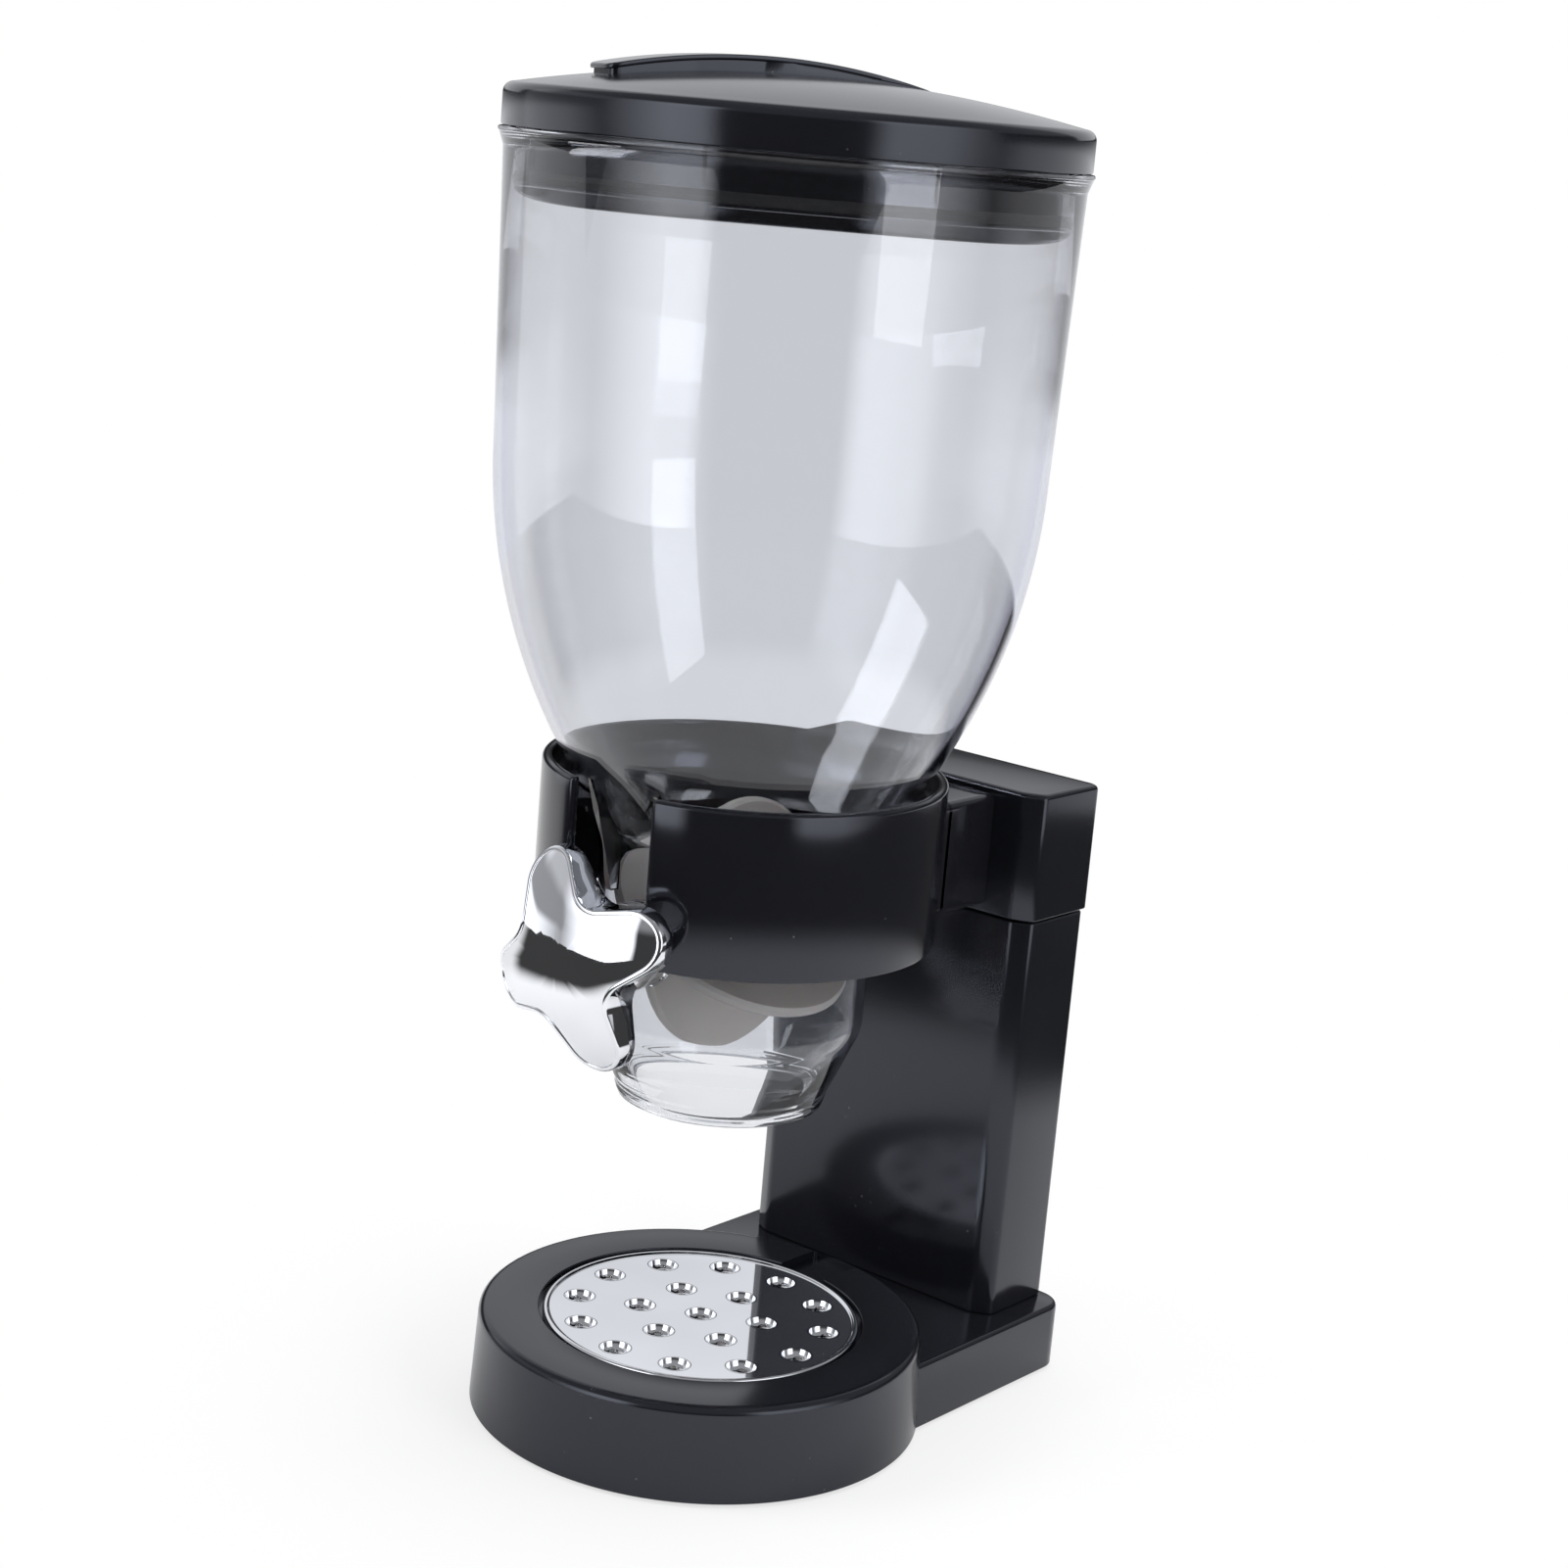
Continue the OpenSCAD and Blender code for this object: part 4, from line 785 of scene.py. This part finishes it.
def addFloor(s):
    # a pale sheet; away from the object it is plain white where it is seen straight or through the
    # canister, and mirrors see it dim far off, other than behind the object
    h = s["half"]
    obj = addPlane("floor", [(-h, -h, 0), (h, -h, 0), (h, h, 0), (-h, h, 0)])
    m, t, bsdf, out = nodeTree("paleFloor")
    bsdf.inputs["Base Color"].default_value = (0.9, 0.9, 0.9, 1)
    bsdf.inputs["Roughness"].default_value = 0.9
    bsdf.inputs["Specular IOR Level"].default_value = 0.0
    where = t.nodes.new("ShaderNodeTexCoord")
    far = addNode(t, "ShaderNodeVectorMath", operation="DISTANCE")
    far.inputs[1].default_value = (0, 0.02, 0)
    t.links.new(where.outputs["Object"], far.inputs[0])
    away = mapRange(t, far.outputs["Value"], s["nearR"], s["farR"], s["nearShare"], 1.0)
    share = addNode(t, "ShaderNodeMath", operation="MULTIPLY")
    t.links.new(raySeen(t, False), share.inputs[0])
    t.links.new(away, share.inputs[1])
    glow = addNode(t, "ShaderNodeEmission", Color=(1, 1, 1, 1), Strength=1.0)
    mix = t.nodes.new("ShaderNodeMixShader")
    t.links.new(share.outputs[0], mix.inputs[0])
    t.links.new(bsdf.outputs[0], mix.inputs[1])
    t.links.new(glow.outputs[0], mix.inputs[2])
    offAt = mapRange(t, far.outputs["Value"], s["mirrorR"], s["mirrorR"] + 0.1, 0.0, 1.0)
    dimShare = addNode(t, "ShaderNodeMath", operation="MULTIPLY")
    t.links.new(raySeen(t, True), dimShare.inputs[0])
    t.links.new(offAt, dimShare.inputs[1])
    behind = behindShare(t, where.outputs["Object"])
    level = mapRange(t, behind, 0.0, 1.0, s["mirrorDim"], s["mirrorBack"], "LINEAR")
    distant = addNode(t, "ShaderNodeEmission", Color=(1, 1, 1, 1))
    t.links.new(level, distant.inputs["Strength"])
    mirrorMix = t.nodes.new("ShaderNodeMixShader")
    t.links.new(dimShare.outputs[0], mirrorMix.inputs[0])
    t.links.new(mix.outputs[0], mirrorMix.inputs[1])
    t.links.new(distant.outputs[0], mirrorMix.inputs[2])
    t.links.new(mirrorMix.outputs[0], out.inputs["Surface"])
    obj.data.materials.append(m)


addFloor(floorSize)

cardSize = dict(middle=(-0.25, 0.31), half=0.5, low=0.4, high=1.0, strength=0.75)


def addCard(s):
    # a white card high behind the object that only mirrors see, as the lid's dome does
    (x, y), h = s["middle"], s["half"]
    a = radians(view["heading"])
    dx, dy = h * cos(a), h * sin(a)
    obj = addPlane("card", [(x - dx, y - dy, s["low"]), (x + dx, y + dy, s["low"]),
                            (x + dx, y + dy, s["high"]), (x - dx, y - dy, s["high"])])
    m, t, bsdf, out = nodeTree("whiteCard")
    t.nodes.remove(bsdf)
    glow = addNode(t, "ShaderNodeEmission", Color=(0.95, 0.97, 1, 1), Strength=s["strength"])
    clearAway = t.nodes.new("ShaderNodeBsdfTransparent")
    mix = t.nodes.new("ShaderNodeMixShader")
    t.links.new(raySeen(t, True), mix.inputs[0])
    t.links.new(clearAway.outputs[0], mix.inputs[1])
    t.links.new(glow.outputs[0], mix.inputs[2])
    t.links.new(mix.outputs[0], out.inputs["Surface"])
    obj.data.materials.append(m)


addCard(cardSize)

worldSize = dict(low=0.05, front=0.25, back=0.8, below=0.9, diffuse=0.42, window=2.8, windowTop=0.5,
                 windowAt=((-180, 0.12), (-130, 0.1), (-101, 1), (-86, 0.9), (-79, 0), (-24, 0), (-15, 0.75),
                           (8, 0.65), (34, 0)))


def addWorld(s):
    # white where it is seen straight or through the canister; mirrors see a dark room with two tall
    # windows by the camera, white below behind the object and light overhead, brightest behind the object
    world = bpy.data.worlds.new("studio")
    scene.world = world
    world.use_nodes = True
    t = world.node_tree
    t.nodes.clear()
    where = t.nodes.new("ShaderNodeTexCoord")
    apart = t.nodes.new("ShaderNodeSeparateXYZ")
    t.links.new(where.outputs["Generated"], apart.inputs[0])
    height = apart.outputs["Z"]

    def join(operation, a, b):
        n = addNode(t, "ShaderNodeMath", operation=operation)
        for k, v in enumerate((a, b)):
            if isinstance(v, float):
                n.inputs[k].default_value = v
            else:
                t.links.new(v, n.inputs[k])
        return n.outputs[0]

    behind = behindShare(t, where.outputs["Generated"])
    over = join("MULTIPLY_ADD", behind, s["back"] - s["front"])
    over.node.inputs[2].default_value = s["front"]
    overhead = join("MULTIPLY", over, mapRange(t, height, 0.2, 0.36, 0.0, 1.0))
    wide = addNode(t, "ShaderNodeVectorMath", operation="DOT_PRODUCT")
    wide.inputs[1].default_value = (-0.63, 0.78, 0.0)
    t.links.new(where.outputs["Generated"], wide.inputs[0])
    under = join("MULTIPLY", mapRange(t, wide.outputs["Value"], -0.3, 0.2, 0.0, 1.0),
                 mapRange(t, height, -0.05, 0.02, s["below"], 0.0))
    turn = join("ARCTAN2", apart.outputs["Y"], apart.outputs["X"])
    share = join("MULTIPLY_ADD", turn, 0.5 / pi)
    share.node.inputs[2].default_value = 0.5
    windows = t.nodes.new("ShaderNodeValToRGB")
    stops = windows.color_ramp.elements
    for k, (at, level) in enumerate(s["windowAt"]):
        stop = stops[k] if k < 2 else stops.new((at + 180) / 360)
        stop.position = (at + 180) / 360
        stop.color = (level, level, level, 1)
    t.links.new(share, windows.inputs[0])
    fade = mapRange(t, height, s["windowTop"], s["windowTop"] + 0.15, s["window"], 0.0)
    tall = join("MULTIPLY", windows.outputs[0], fade)
    seenInMirror = join("ADD", join("ADD", overhead, under), join("ADD", tall, s["low"]))
    strength = addNode(t, "ShaderNodeMix", data_type="FLOAT")
    strength.inputs["A"].default_value = s["diffuse"]
    t.links.new(raySeen(t, True), strength.inputs["Factor"])
    t.links.new(seenInMirror, strength.inputs["B"])
    room = addNode(t, "ShaderNodeBackground", Color=(0.95, 0.965, 1.0, 1))
    t.links.new(strength.outputs["Result"], room.inputs["Strength"])
    white = addNode(t, "ShaderNodeBackground", Color=(1, 1, 1, 1), Strength=1.0)
    mix = t.nodes.new("ShaderNodeMixShader")
    out = t.nodes.new("ShaderNodeOutputWorld")
    t.links.new(raySeen(t, False), mix.inputs[0])
    t.links.new(room.outputs[0], mix.inputs[1])
    t.links.new(white.outputs[0], mix.inputs[2])
    t.links.new(mix.outputs[0], out.inputs[0])


addWorld(worldSize)


def addLamp(name, place, target, size, power):
    data = bpy.data.lights.new(name, "AREA")
    data.shape, data.size, data.size_y, data.energy = "RECTANGLE", size[0], size[1], power
    obj = bpy.data.objects.new(name, data)
    obj.location = place
    obj.rotation_mode = "QUATERNION"
    obj.rotation_quaternion = (Vector(target) - Vector(place)).to_track_quat("-Z", "Y")
    obj.visible_glossy = False
    scene.collection.objects.link(obj)


# Soft lamps for the diffuse light; mirrors see the world instead
addLamp("keyLeft", (-0.9, -0.9, 0.95), (0, 0, 0.2), (0.7, 0.7), 10)
addLamp("keyRight", (1.2, -0.1, 0.7), (0, 0, 0.2), (0.5, 0.9), 6)
addLamp("topSoft", (0.1, 0.3, 1.5), (0, 0, 0.2), (1.0, 1.0), 14)
print("stage lit")
